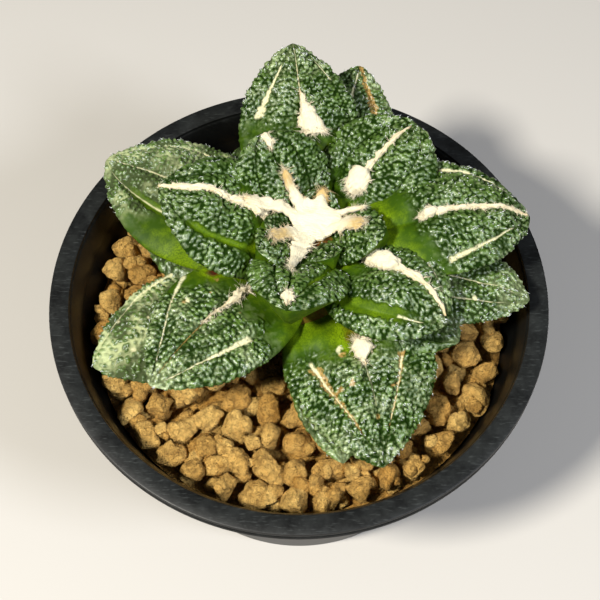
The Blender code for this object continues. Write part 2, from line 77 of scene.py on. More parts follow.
# Tubercles, youngest first, as in the plant's design. A tubercle runs from the stem's axis to its
# tip. lean is how far its azimuth strays from the golden angle, reach is how far from the axis its
# tip lies, and tip and root are the heights of its two ends above the rim. width is its greatest
# width, wide is where that is, as a share of its length, and taper is how fast it narrows beyond.
# arch lifts its middle, bend shifts it sideways and keel is the depth of its underside.
# Lengths are in millimetres, lean in degrees.
Tubercle = namedtuple("Tubercle", "lean reach tip root width wide taper arch bend keel")
TUBERCLES = (
    Tubercle(17, 9.5, 19, 8, 7, 0.62, 0.8, 0.5, 0, 4),
    Tubercle(0, 9, 19, 8, 8, 0.62, 0.8, 0.5, 0, 4),
    Tubercle(0, 10, 17.5, 8, 8, 0.62, 0.8, 0.5, 0, 4),
    Tubercle(0, 12.5, 19.5, 7, 12, 0.62, 0.8, 1.0, 0, 5),
    Tubercle(0, 15, 20.5, 7, 13, 0.62, 0.8, 1.2, 0, 6),
    Tubercle(-11, 22, 22, 5, 20, 0.66, 0.65, 1.5, 0, 7),
    Tubercle(-8, 21.5, 21.5, 6, 20, 0.60, 0.8, 2.0, 0, 8),
    Tubercle(4, 32, 20, 3, 24.5, 0.66, 0.65, 1.5, 0, 8),
    Tubercle(-13, 31.5, 21, 3, 26, 0.58, 0.8, 4.0, 1.0, 8),
    Tubercle(5, 33, 14, 3, 25, 0.60, 0.75, 5.0, 0, 8),
    Tubercle(0, 44.3, 20.5, 0, 26, 0.58, 0.85, 1.0, 0, 9),
    Tubercle(-7, 44.5, 11, 1, 26, 0.52, 0.85, 1.5, -1.5, 8),
    Tubercle(-3, 45.5, 12, 4, 26, 0.62, 0.8, 7.0, 0, 8),
    Tubercle(6, 49, 9, -1, 29, 0.58, 0.8, 1.5, 0, 7),
    Tubercle(3, 46, -2, 1, 31, 0.52, 0.9, 2.0, 2.5, 6),
    Tubercle(14, 48.1, 9.6, -2, 23, 0.60, 0.85, 1.0, 0, 6),
    Tubercle(7, 50, 0, -2, 24, 0.58, 0.8, 1.5, 0, 5),
    Tubercle(10, 46, 5, -2, 21, 0.58, 0.8, 5.0, 0, 5),
    Tubercle(3, 34, 2, -3, 20, 0.60, 0.85, 1.0, 0, 5),
    Tubercle(26, 43, -3, -3, 16, 0.60, 0.85, 1.0, 0, 4),
    Tubercle(5, 37, 1, -3, 20, 0.60, 0.85, 1.0, 0, 4),
    Tubercle(2, 36, 0, -3, 20, 0.60, 0.85, 1.0, 0, 4),
    Tubercle(23, 35.5, 3.5, -2, 17, 0.60, 0.8, 1.0, 0, 4),
)
ROOT_SHARE = 0.16  # the tubercle's buried start, as a share of its length
MARGIN_RISE = 0.11  # thickness of the margin, as a share of the half width
CROWN_RISE = 0.15
FURROW_WIDTH = 0.10
TIP_SHARE = 0.997
LAST_SEEN = 17  # the last tubercle that others don't cover from above

# Where the three furrows run across each tubercle, from -1 to 1: at half its length, and near its
# tip. Tubercles that aren't listed have theirs at -0.5, 0 and 0.5.
PLAIN_FURROWS = ((-0.5, -0.5), (0.0, 0.0), (0.5, 0.5))
FURROWS = {
    5: ((-0.5, -0.5), (0.0, 0.0), (0.55, 0.45)),
    6: ((-0.5, -0.4), (-0.15, -0.08), (0.58, 0.15)),
    7: ((-0.52, -0.5), (0.1, 0.12), (0.55, 0.5)),
    8: ((-0.65, -0.55), (-0.19, -0.2), (0.52, 0.6)),
    9: ((-0.67, -0.46), (0.16, 0.38), (0.75, 0.65)),
    10: ((-0.9, -0.72), (-0.04, -0.05), (0.9, 0.35)),
    11: ((-1.0, -0.4), (-0.09, -0.1), (0.63, 0.4)),
    12: ((-0.9, -0.5), (-0.05, 0.12), (0.85, 0.75)),
    13: ((-0.85, -0.7), (-0.13, -0.07), (0.4, 0.47)),
    14: ((-0.63, -0.3), (0.02, 0.04), (0.6, 0.15)),
    15: ((-0.95, -0.33), (0.0, 0.0), (0.5, 0.4)),
    16: ((-1.0, -0.7), (0.2, 0.15), (0.8, 0.6)),
}

# How a tubercle's skin has aged: the share of its length that is still smooth in its middle, how
# much further that reaches on its counter-clockwise side, the spacing of its warts in
# millimetres, how pale the skin between them is, how much waxy frosting lies on them, which is
# also set to add painted highlights on the wart tops, and how bright the smooth skin grows
# towards the stem, which is set lower on tubercle 14, whose base lies in shade: painted shade.
Skin = namedtuple("Skin", "smooth slant spacing old frost glow")
SKINS = (
    Skin(0.30, 0.0, 0.8, 0.0, 0.2, 0.4),
    Skin(0.30, 0.0, 0.8, 0.0, 0.2, 0.4),
    Skin(0.30, 0.0, 0.8, 0.0, 0.2, 0.4),
    Skin(0.35, 0.0, 0.8, 0.0, 0.2, 0.5),
    Skin(0.35, 0.0, 0.8, 0.0, 0.2, 0.5),
    Skin(0.43, 0.0, 0.85, 0.0, 0.15, 0.6),
    Skin(0.42, 0.0, 0.85, 0.0, 0.25, 0.6),
    Skin(0.47, 0.0, 0.9, 0.0, 0.15, 0.8),
    Skin(0.50, -0.12, 0.9, 0.0, 0.2, 0.85),
    Skin(0.43, 0.0, 0.9, 0.0, 0.45, 0.9),
    Skin(0.58, 0.02, 0.85, 0.0, 0.6, 1.0),
    Skin(0.46, 0.03, 0.95, 0.05, 1.2, 0.3),
    Skin(0.51, -0.07, 0.95, 0.0, 0.5, 0.4),
    Skin(0.58, 0.2, 1.0, 0.8, 0.6, 0.4),
    Skin(0.47, 0.0, 0.95, 0.0, 0.95, 0.3),
    Skin(0.50, 0.0, 0.95, 0.15, 0.8, 0.5),
    Skin(0.40, 0.0, 1.15, 1.0, 0.1, 0.5),
    Skin(0.46, 0.0, 0.95, 0.15, 0.6, 0.5),
    Skin(0.45, 0.0, 1.2, 0.4, 0.5, 0.5),
    Skin(0.50, 0.1, 1.2, 0.15, 0.5, 0.6),
    Skin(0.45, 0.0, 1.2, 0.4, 0.5, 0.5),
    Skin(0.45, 0.0, 1.2, 0.4, 0.5, 0.5),
    Skin(0.45, 0.0, 1.1, 0.1, 0.4, 0.5),
)

# Tubercles with smooth skin along one furrow too: which one, its width in millimetres, and the
# share of the length where it ends.
SMOOTH_FURROWS = {6: (2, 1.2, 0.85), 8: (2, 1.7, 0.88), 9: (0, 3.0, 0.92), 13: (2, 2.2, 0.9)}

# Pale furrows, brown scars and blushes on the skin. A streak follows one of the three furrows, start and
# end are shares of the tubercle's length, and width is in millimetres at its start. A spot lies at
# a share of the length and a place across, and its size is in millimetres.
Streak = namedtuple("Streak", "tubercle furrow start end width")
Spot = namedtuple("Spot", "tubercle share side size")
CREAM_STREAKS = (
    Streak(10, 2, 0.665, 0.91, 2.1),
    Streak(10, 1, 0.74, 1.00, 0.35),
    Streak(10, 0, 0.82, 0.92, 0.4),
    Streak(15, 1, 0.78, 0.97, 1.0),
    Streak(12, 2, 0.64, 0.93, 1.1),
    Streak(12, 0, 0.60, 0.92, 1.6),
    Streak(9, 0, 0.80, 0.92, 0.7),
    Streak(9, 2, 0.60, 0.93, 0.35),
    Streak(14, 0, 0.47, 0.82, 0.9),
    Streak(14, 2, 0.56, 0.84, 0.8),
    Streak(14, 1, 0.55, 0.76, 0.2),
    Streak(11, 0, 0.50, 0.93, 0.9),
    Streak(11, 2, 0.54, 0.96, 1.3),
    Streak(13, 1, 0.68, 0.98, 0.6),
    Streak(13, 0, 0.62, 0.82, 0.6),
    Streak(13, 2, 0.55, 0.96, 0.45),
    Streak(16, 0, 0.50, 0.95, 0.6),
    Streak(17, 1, 0.58, 0.95, 0.5),
    Streak(17, 0, 0.58, 0.90, 0.6),
)
CREAM_SPOTS = (
    Spot(14, 0.47, -0.25, 1.5),
    Spot(16, 0.83, -0.73, 0.9),
    Spot(16, 0.83, 0.17, 1.0),
    Spot(16, 0.77, 0.22, 0.9),
    Spot(16, 0.72, -0.30, 0.8),
    Spot(11, 0.62, -0.55, 0.8),
    Spot(17, 0.77, -0.46, 0.9),
)
BLUSHES = (
    Spot(8, 0.38, 0.35, 4.0),
    Spot(11, 0.34, -0.9, 9.0),
    Spot(11, 0.43, -0.7, 3.0),
    # This wide blush also browns and darkens tubercle 14's base, which lies in shade: partly painted shade
    Spot(14, 0.42, 0.05, 9.0),
    Spot(12, 0.33, 0.1, 4.0),
)
# Smooth patches within the warts
BARE_SPOTS = (
    Spot(11, 0.50, -0.85, 6.0),
    Spot(11, 0.60, -0.98, 4.0),
)
RUST_STREAKS = (
    Streak(15, 0, 0.70, 1.06, 3.0),
    Streak(10, 1, 0.70, 0.92, 0.4),
    Streak(12, 2, 0.60, 0.70, 1.0),
    Streak(14, 0, 0.50, 0.86, 2.6),
    Streak(14, 2, 0.54, 0.86, 1.6),
    Streak(11, 1, 0.50, 0.98, 0.35),
    Streak(13, 0, 0.60, 0.70, 0.6),
)
RUST_SPOTS = (
    Spot(11, 0.63, -0.58, 1.0),
    Spot(11, 0.52, -0.39, 0.4),
    Spot(11, 0.44, -0.53, 1.1),
    Spot(11, 0.50, 0.19, 0.3),
    Spot(14, 0.69, 0.33, 0.9),
    Spot(14, 0.64, -0.40, 1.0),
    Spot(14, 0.49, -0.22, 1.3),
    Spot(14, 0.63, -0.22, 1.6),
    Spot(14, 0.80, 0.02, 1.0),
    Spot(16, 0.60, -0.80, 0.8),
)

# Wool. An arm of the crown's felt runs out from its middle: azimuth in degrees, and its length,
# widths at its two ends and sideways bend in millimetres. ochre is the share of it that is thin
# and brown. A stripe follows its tubercle's middle furrow between two shares of its length,
# shifted sideways at its start. It has a round head, of that width and share of its length, and a
# tail that narrows by its taper. fringe is the length of its loose fibres, in millimetres.
Arm = namedtuple("Arm", "azimuth length width end bend ochre")
Stripe = namedtuple("Stripe", "tubercle start end shift width head tail taper fringe")
CROWN_CENTRE = (3.2 * MM, 7.9 * MM)
CROWN_ARMS = (
    Arm(124, 11.2, 2.8, 1.6, 0.5, 0.45),
    Arm(168, 14.6, 2.2, 3.0, -0.9, 0.2),
    Arm(211, 10.2, 3.4, 2.4, 0.3, 0.55),
    Arm(250, 14.0, 5.4, 1.0, -0.5, 0.1),
    Arm(343, 10.2, 4.0, 2.6, 0.0, 0.45),
    Arm(7, 9.8, 2.0, 1.0, 0.8, 0.2),
    Arm(74, 6.4, 3.0, 2.0, 0.0, 1.0),
)
STRIPES = (
    Stripe(10, 0.575, 0.78, -2.4, 5.2, 0.5, 4.7, 0.8, 1.5),
    Stripe(7, 0.46, 0.97, 0.0, 5.2, 0.32, 1.7, 0.4, 1.1),
    Stripe(8, 0.40, 1.00, 0.0, 0.0, 0.0, 1.7, 0.15, 1.0),
    Stripe(9, 0.44, 0.98, 0.6, 4.0, 0.40, 1.8, 0.3, 0.9),
    Stripe(12, 0.51, 0.99, 0.0, 2.2, 0.2, 1.3, 0.2, 0.9),
    Stripe(11, 0.36, 0.66, 0.0, 1.6, 0.5, 0.9, 0.5, 1.7),
    Stripe(14, 0.45, 0.57, 0.8, 4.0, 0.7, 2.6, 0.6, 1.7),
    Stripe(6, 0.86, 0.97, 0.0, 1.8, 1.0, 0.5, 0.5, 1.2),
    Stripe(5, 0.89, 0.99, 0.0, 1.9, 1.0, 0.5, 0.5, 1.2),
)


def linear(code):
    """An sRGB hex colour such as "#1c1f20" as linear red, green, blue and alpha."""
    shares = [int(code[place : place + 2], 16) / 255 for place in (1, 3, 5)]
    return (*(s / 12.92 if s <= 0.04045 else ((s + 0.055) / 1.055) ** 2.4 for s in shares), 1.0)


def length_of(name, description, default):
    return FloatProperty(name=name, description=description, default=default, unit="LENGTH")


def colour_of(name, description, code):
    return FloatVectorProperty(
        name=name,
        description=description,
        subtype="COLOR",
        size=4,
        min=0.0,
        max=1.0,
        default=linear(code),
    )


class PotSettings(bpy.types.PropertyGroup):
    """Sizes and colours of the nursery pot"""

    height: length_of("Height", "Height of the pot", 62.0 * MM)
    rim_radius: length_of("Rim radius", "Outer radius of the rim", 52.5 * MM)
    mouth_radius: length_of("Mouth radius", "Inner radius of the rim", 48.4 * MM)
    flare_depth: length_of("Flare depth", "Depth over which the mouth narrows", 7.0 * MM)
    flare_in: length_of("Flare in", "How far the mouth narrows", 2.0 * MM)
    wall: length_of("Wall", "Thickness of the wall", 1.4 * MM)
    base_radius: length_of("Base radius", "Outer radius of the foot", 36.8 * MM)
    foot_height: length_of("Foot height", "Height of the foot ring", 3.0 * MM)
    foot_width: length_of("Foot width", "Width of the foot ring", 3.0 * MM)
    floor: length_of("Floor", "Thickness of the floor", 1.6 * MM)
    skirt: length_of("Skirt", "Depth of the rim's outer skirt", 3.6 * MM)
    drain_radius: length_of("Drain radius", "Radius of a drain hole", 3.2 * MM)
    drain_circle: length_of("Drain circle", "Radius of the circle of drain holes", 20.0 * MM)
    drain_count: IntProperty(name="Drain count", description="Drain holes on the circle", default=6)
    plastic: colour_of("Plastic", "Black plastic", "#0a0b0b")
    scuff: colour_of("Scuff", "Scratched and dusty plastic", "#383c3b")


class BedSettings(bpy.types.PropertyGroup):
    """Sizes and colours of the bed of clay grains"""

    drop: length_of("Drop", "How far below the rim the top grains' middles lie", 9.8 * MM)
    spacing: length_of("Spacing", "Distance between grains", 6.8 * MM)
    smallest: length_of("Smallest", "Smallest radius of a grain", 2.8 * MM)
    largest: length_of("Largest", "Largest radius of a grain", 3.5 * MM)
    seed: IntProperty(name="Seed", description="Seed of the grains' shapes", default=11)
    light: colour_of("Light clay", "The palest grains", "#ffd47c")
    dark: colour_of("Dark clay", "The darkest grains", "#cc9746")
    # Painted shade for the grains' crack lines and pores
    crevice_shade: colour_of("Pits", "Cracks and pores of the grains", "#5e3b14")


class PlantSettings(bpy.types.PropertyGroup):
    """Sizes and colours of the plant"""

    golden_angle: FloatProperty(
        name="Golden angle", description="Turn between tubercles, in degrees", default=137.5
    )
    first_azimuth: FloatProperty(
        name="First azimuth", description="Azimuth of the youngest tubercle", default=160.0
    )
    axis_x: length_of("Axis X", "The stem's place", 2.5 * MM)
    axis_y: length_of("Axis Y", "The stem's place", 5.5 * MM)
    cell: length_of("Cell", "Size of the skin's mesh cells", 0.21 * MM)
    wart_height: length_of("Wart height", "Height of a wart", 0.62 * MM)
    furrow: FloatProperty(
        name="Furrow", description="Depth of the furrows, in half widths", default=0.13
    )
    hairs: FloatProperty(name="Hairs", description="Hairs to a square millimetre", default=0.6)
    # Painted shade: this dark colour fills the hollows between the warts on young tubercles
    valley: colour_of("Valley", "Skin between the warts", "#182b09")
    old_valley: colour_of("Old valley", "The same skin on old tubercles", "#adb788")
    wart: colour_of("Wart", "Warts", "#527022")
    # Also painted highlights: this pale colour lies on the wart tops where glints fall, and as a sheen on the
    # smooth skin
    frost: colour_of("Frost", "Waxy, hairy wart tops", "#b2c08c")
    shoulder: colour_of("Shoulder", "Smooth skin next to the warts", "#304a08")
    base: colour_of("Base", "Smooth skin lower down", "#74900a")
    amber: colour_of("Amber", "Smooth skin near the stem", "#655c10")
    crimson: colour_of("Crimson", "Skin deep between the tubercles", "#5c1216")
    cream: colour_of("Cream", "Pale furrows", "#dcd8ae")
    rust: colour_of("Rust", "Scars", "#a3834a")


class WoolSettings(bpy.types.PropertyGroup):
    """Sizes and colours of the wool"""

    thickness: length_of("Thickness", "Thickness of the crown's felt", 1.6 * MM)
    stripe: length_of("Stripe", "Thickness of a furrow's felt", 0.9 * MM)
    radius: length_of("Radius", "Radius of the crown's felt without its arms", 4.3 * MM)
    fibre: length_of("Fibre", "Length of a loose fibre", 1.4 * MM)
    ivory: colour_of("Ivory", "Felted wool", "#dcd3b4")
    # Painted light: paler than the felt, so the loose fibres look lit through
    pale: colour_of("Pale", "Loose fibres, which let light through", "#eee4c8")
    ochre: colour_of("Ochre", "Old and thin wool", "#b79c62")


class StageSettings(bpy.types.PropertyGroup):
    """The floor, the lights and the camera"""

    elevation: FloatProperty(
        name="Elevation", description="The camera's elevation, in degrees", default=62.35
    )
    distance: length_of("Distance", "From the camera to the pot's mouth", 0.25)
    lens: FloatProperty(name="Lens", description="Focal length in millimetres", default=71.4)
    key: FloatProperty(name="Key", description="Power of the main light", default=7.6)
    fill: FloatProperty(name="Fill", description="Power of the fill light", default=3.0)
    sky: FloatProperty(name="Sky", description="Strength of the light from all round", default=0.15)
    floor: colour_of("Floor", "Pale floor", "#bdbab4")


# Shared mesh, noise and material helpers


def smooth_step(share):
    """0 below 0, 1 above 1, and the cubic 3x^2 - 2x^3 between."""
    share = np.clip(share, 0.0, 1.0)
    return share * share * (3.0 - 2.0 * share)


def unit(vectors):
    return vectors / np.maximum(np.linalg.norm(vectors, axis=-1, keepdims=True), 1e-12)


def cloud(places, size, seed):
    """Smooth noise from -1 to 1: random values on a lattice, blended between each cell's corners."""
    cells = np.asarray(places) / size
    low = np.floor(cells).astype(int)
    part = smooth_step(cells - low)
    dims = cells.shape[-1]
    table = np.random.default_rng(seed).uniform(-1, 1, (32,) * dims)
    total = np.zeros(cells.shape[:-1])
    for corner in itertools.product((0, 1), repeat=dims):
        weight = np.prod(np.where(corner, part, 1 - part), axis=-1)
        index = (low + corner) % 32
        total += weight * table[tuple(index[..., axis] for axis in range(dims))]
    return total


def grid_faces(rows, columns, wrap=False):
    """Corner numbers of a grid's quads. wrap joins its last column to its first."""
    across = columns if wrap else columns - 1
    row, column = np.meshgrid(np.arange(rows - 1), np.arange(across), indexing="ij")
    after = (column + 1) % columns
    corners = (row * columns + column, row * columns + after)
    corners += ((row + 1) * columns + after, (row + 1) * columns + column)
    return np.stack(corners, axis=-1).reshape(-1, 4)


def fan_faces(ring, hub):
    """Triangles from a ring of point numbers to one more point."""
    return np.stack([ring, np.roll(ring, -1), np.full(len(ring), hub)], axis=-1)


def signed_volume(points, faces):
    total = 0.0
    for block in faces:
        first = points[block[:, 0]]
        for corner in range(1, block.shape[1] - 1):
            cross = np.cross(points[block[:, corner]], points[block[:, corner + 1]])
            total += np.einsum("ij,ij->", first, cross)
    return total


def add_piece(name, points, faces, finish, replaced=(), fields=None, smooth=True):
    """Puts points and blocks of faces into a mesh that faces outwards and rides on the root body.

    faces is a list of arrays of corner numbers. fields gives one number to each point by name.
    """
    if signed_volume(points, faces) < 0:
        faces = [block[:, ::-1] for block in faces]
    corners = np.concatenate([block.ravel() for block in faces])
    sizes = np.concatenate([np.full(len(block), block.shape[1]) for block in faces])
    mesh = bpy.data.meshes.new(name)
    mesh.vertices.add(len(points))
    mesh.vertices.foreach_set("co", points.ravel())
    mesh.loops.add(len(corners))
    mesh.loops.foreach_set("vertex_index", corners)
    mesh.polygons.add(len(sizes))
    mesh.polygons.foreach_set("loop_start", np.cumsum(sizes) - sizes)
    mesh.polygons.foreach_set("use_smooth", np.full(len(sizes), smooth))
    mesh.update(calc_edges=True)
    for field, values in (fields or {}).items():
        attribute = mesh.attributes.new(field, "FLOAT", "POINT")
        attribute.data.foreach_set("value", np.asarray(values, dtype=np.float32).ravel())
    mesh.materials.append(finish)
    piece = bpy.data.objects.new(name, mesh)
    bpy.context.scene.collection.objects.link(piece)
    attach(piece, "root")
    if replaced:
        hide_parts(*replaced)
    return piece


def join_parts(parts):
    """One set of points, faces and fields from several, each a tuple of the three."""
    points, faces, fields = [], [], {}
    shift = 0
    for part_points, part_faces, part_fields in parts:
        points.append(part_points)
        faces += [block + shift for block in part_faces]
        for field, values in part_fields.items():
            fields.setdefault(field, []).append(values)
        shift += len(part_points)
    return np.vstack(points), faces, {field: np.concatenate(all_) for field, all_ in fields.items()}


def lathe(profile, segments):
    """A line of (radius, height) points, which starts and ends on the axis, turned about it."""
    profile = np.asarray(profile)
    turns = np.arange(segments) * 2 * math.pi / segments
    inner = profile[1:-1]
    rings = np.stack(
        [
            inner[:, :1] * np.cos(turns),
            inner[:, :1] * np.sin(turns),
            inner[:, 1:] * np.ones(segments),
        ],
        axis=-1,
    )
    ends = np.array([(0, 0, profile[0, 1]), (0, 0, profile[-1, 1])])
    points = np.vstack([rings.reshape(-1, 3), ends])
    first = np.arange(segments)
    last = first + (len(inner) - 1) * segments
    faces = [grid_faces(len(inner), segments, wrap=True)]
    faces.append(fan_faces(first, len(points) - 2)[:, ::-1])
    faces.append(fan_faces(last, len(points) - 1))
    return points, faces


def rounded(profile, radius, steps=3):
    """The line with each corner replaced by a quadratic curve that starts radius before it."""
    profile = np.asarray(profile, dtype=float)
    before, corner, after = profile[:-2], profile[1:-1], profile[2:]
    cut = np.minimum(radius, 0.45 * np.linalg.norm(corner - before, axis=1))
    cut = np.minimum(cut, 0.45 * np.linalg.norm(after - corner, axis=1))[:, None]
    start = corner + unit(before - corner) * cut
    end = corner + unit(after - corner) * cut
    share = np.linspace(0, 1, steps)[None, :, None]
    curve = (1 - share) ** 2 * start[:, None] + 2 * share * (1 - share) * corner[:, None]
    curve = curve + share**2 * end[:, None]
    return np.vstack([profile[:1], curve.reshape(-1, 2), profile[-1:]])


def strands(roots, aims, bends, lengths, radii, segments):
    """Closed tapering fibres: triangular rings along root + aim * x + bend * x^2, then a point."""
    count = len(roots)
    share = np.arange(segments) / segments
    thick = radii[:, None] * (1 - share) ** 0.7
    reach = lengths[:, None, None] * share[None, :, None]
    middle = roots[:, None] + aims[:, None] * reach + bends[:, None] * reach * share[None, :, None]
    helper = np.where(np.abs(aims[:, 2:]) < 0.9, (0.0, 0.0, 1.0), (1.0, 0.0, 0.0))
    side = unit(np.cross(aims, helper))
    other = np.cross(aims, side)
    turns = np.arange(3) * 2 * math.pi / 3
    ring = side[:, None] * np.cos(turns)[None, :, None] + other[:, None] * np.sin(turns)[None, :, None]
    rings = middle[:, :, None] + ring[:, None] * thick[:, :, None, None]
    tips = roots + (aims + bends) * lengths[:, None]
    points = np.concatenate([rings.reshape(count, -1, 3), tips[:, None]], axis=1)
    size = 3 * segments + 1
    shift = (np.arange(count) * size)[:, None, None]
    cap = np.array([[0, 2, 1]])
    sides = grid_faces(segments, 3, wrap=True) if segments > 1 else np.empty((0, 4), dtype=int)
    top = fan_faces(np.arange(3) + 3 * (segments - 1), 3 * segments)
    faces = [(block[None] + shift).reshape(-1, block.shape[1]) for block in (cap, sides, top)]
    faces = [block for block in faces if len(block)]
    return points.reshape(-1, 3), faces


def add_node(tree, kind, sockets=None, **settings):
    """Adds a node, sets its settings, and sets or links its sockets by name or number."""
    made = tree.nodes.new(kind)
    for setting, value in settings.items():
        setattr(made, setting, value)
    for socket, value in (sockets or {}).items():
        if isinstance(value, bpy.types.NodeSocket):
            tree.links.new(value, made.inputs[socket])
        else:
            made.inputs[socket].default_value = value
    return made


def new_material(name):
    """An empty material, its tree and its Principled shader."""
    made = bpy.data.materials.new(name)
    made.use_nodes = True
    return made, made.node_tree, made.node_tree.nodes["Principled BSDF"]


def per_metre(millimetres):
    """A texture's scale for features of that size on Object coordinates in metres."""
    return 1.0 / (millimetres * MM)


# Pot


def mouth_radius(sizes, height):
    """Inner radius of the pot: a straight taper, then a flared mouth that opens as a power curve."""
    height = np.asarray(height, dtype=float)
    start = sizes.height - sizes.flare_depth
    floor = sizes.foot_height + sizes.floor
    top = sizes.mouth_radius - sizes.flare_in
    bottom = sizes.base_radius - sizes.wall
    straight = bottom + (top - bottom) * (height - floor) / (start - floor)
    flare = top + sizes.flare_in * (np.clip(height - start, 0, None) / sizes.flare_depth) ** 1.6
    return np.where(height <= start, straight, flare)


def pot_outline(sizes):
    """Underside, foot, outer wall, skirt with its groove, flat rim, and the inside down to the floor."""
    edge = 0.5 * MM
    floor = sizes.foot_height + sizes.floor
    skirt = sizes.height - sizes.skirt
    groove = sizes.height - 0.5 * sizes.skirt
    outer = [
        (0.0, sizes.foot_height),
        (sizes.base_radius - sizes.foot_width, sizes.foot_height),
        (sizes.base_radius - sizes.foot_width, 0.0),
        (sizes.base_radius, 0.0),
        (float(mouth_radius(sizes, skirt)) + sizes.wall, skirt + edge),
        (sizes.rim_radius - 2 * edge, skirt),
        (sizes.rim_radius, skirt + edge),
        (sizes.rim_radius, groove - edge),
        (sizes.rim_radius - edge, groove),
        (sizes.rim_radius - edge, groove + 0.6 * edge),
        (sizes.rim_radius, groove + 1.6 * edge),
        (sizes.rim_radius, sizes.height),
        (sizes.mouth_radius, sizes.height),
        (sizes.mouth_radius - 0.2 * edge, sizes.height - edge),
    ]
    flare = sizes.height - sizes.flare_depth * np.linspace(0.12, 1.0, 8)
    wall = np.linspace(sizes.height - sizes.flare_depth, floor, 12)[1:]
    inner = [(float(mouth_radius(sizes, height)), height) for height in [*flare, *wall]]
    return rounded(outer + inner + [(0.0, floor)], 0.35 * MM)


def moulded_polypropylene(colours):
    """Injection-moulded black polypropylene: satin, with fine scratches and dust on its rim."""
    made, tree, shader = new_material("moulded polypropylene, scuffed")
    place = add_node(tree, "ShaderNodeTexCoord").outputs["Object"]
    # Scratches 0.3 mm wide and 3 mm long, crossed at two angles
    scratches = []
    for turn, stretch in ((0.5, 5.0), (-0.9, 7.0)):
        turned = add_node(
            tree,
            "ShaderNodeMapping",
            {"Vector": place, "Rotation": (0, 0, turn), "Scale": (1.0, stretch, 1.0)},
        )
        noise = add_node(
            tree,
            "ShaderNodeTexNoise",
            {"Vector": turned.outputs[0], "Scale": per_metre(2.2), "Detail": 3.0},
        )
        line = add_node(
            tree,
            "ShaderNodeMapRange",
            {"Value": noise.outputs[0], "From Min": 0.60, "From Max": 0.74},
        )
        scratches.append(line.outputs[0])
    both = add_node(tree, "ShaderNodeMath", {0: scratches[0], 1: scratches[1]}, operation="MAXIMUM")
    # Mottled dust, patches of 5 mm
    dust = add_node(
        tree,
        "ShaderNodeTexNoise",
        {"Vector": place, "Scale": per_metre(5.0), "Detail": 6.0, "Roughness": 0.7},
    )
    patch = add_node(
        tree,
        "ShaderNodeMapRange",
        {"Value": dust.outputs[0], "From Min": 0.35, "From Max": 0.75, "To Max": 0.35},
    )
    # Handling wears upward faces: the rim more than the wall
    facing = add_node(tree, "ShaderNodeNewGeometry").outputs["Normal"]
    upward = add_node(tree, "ShaderNodeSeparateXYZ", {0: facing}).outputs["Z"]
    wear = add_node(
        tree, "ShaderNodeMapRange", {"Value": upward, "From Min": 0.2, "From Max": 0.9, "To Min": 0.05}
    )
    marks = add_node(
        tree,
        "ShaderNodeMath",
        {0: both.outputs[0], 1: 0.45, 2: patch.outputs[0]},
        operation="MULTIPLY_ADD",
    )
    worn = add_node(
        tree, "ShaderNodeMath", {0: marks.outputs[0], 1: wear.outputs[0]}, operation="MULTIPLY"
    )
    colour = add_node(
        tree,
        "ShaderNodeMix",
        {0: worn.outputs[0], 6: colours.plastic, 7: colours.scuff},
        data_type="RGBA",
    )
    tree.links.new(colour.outputs[2], shader.inputs["Base Color"])
    rough = add_node(
        tree, "ShaderNodeMapRange", {"Value": worn.outputs[0], "To Min": 0.36, "To Max": 0.75}
    )
    tree.links.new(rough.outputs[0], shader.inputs["Roughness"])
    gloss = add_node(
        tree, "ShaderNodeMapRange", {"Value": upward, "From Max": 0.5, "To Min": 0.06, "To Max": 0.3}
    )
    tree.links.new(gloss.outputs[0], shader.inputs["Specular IOR Level"])
    grain = add_node(
        tree, "ShaderNodeTexNoise", {"Vector": place, "Scale": per_metre(0.5), "Detail": 2.0}
    )
    bump = add_node(
        tree,
        "ShaderNodeBump",
        {"Height": grain.outputs[0], "Strength": 0.25, "Distance": 0.05 * MM},
    )
    tree.links.new(bump.outputs[0], shader.inputs["Normal"])
    return made


class ROCKCACTUS_OT_make_pot(bpy.types.Operator):
    """Turn the pot from its outline and drill its drain holes"""

    bl_idname = "rock_cactus.make_pot"
    bl_label = "Make Pot"

    def execute(self, context):
        sizes = context.scene.rock_cactus_pot
        finish = moulded_polypropylene(sizes)
        points, faces = lathe(pot_outline(sizes), 200)
        pot = add_piece("pot_shell", points, faces, finish, ("pot",))
        turns = np.arange(sizes.drain_count) * 2 * math.pi / sizes.drain_count
        places = [(0.0, 0.0)]
        places += [(sizes.drain_circle * math.cos(t), sizes.drain_circle * math.sin(t)) for t in turns]
        low, high = sizes.foot_height - sizes.floor, sizes.foot_height + 2 * sizes.floor
        outline = [(0, low), (sizes.drain_radius, low), (sizes.drain_radius, high), (0, high)]
        parts = []
        for place in places:
            hole_points, hole_faces = lathe(outline, 32)
            parts.append((hole_points + (*place, 0.0), hole_faces, {}))
        points, faces, _ = join_parts(parts)
        drill = add_piece("drain_drill", points, faces, finish)
        cut = pot.modifiers.new("drain holes", "BOOLEAN")
        cut.operation = "DIFFERENCE"
        cut.object = drill
        context.view_layer.update()
        drilled = pot.evaluated_get(context.evaluated_depsgraph_get())
        mesh = bpy.data.meshes.new_from_object(drilled)
        pot.modifiers.clear()
        pot.data = mesh
        bpy.data.objects.remove(drill)
        mesh.set_sharp_from_angle(angle=math.radians(40))
        return {"FINISHED"}


# Clay grain bed


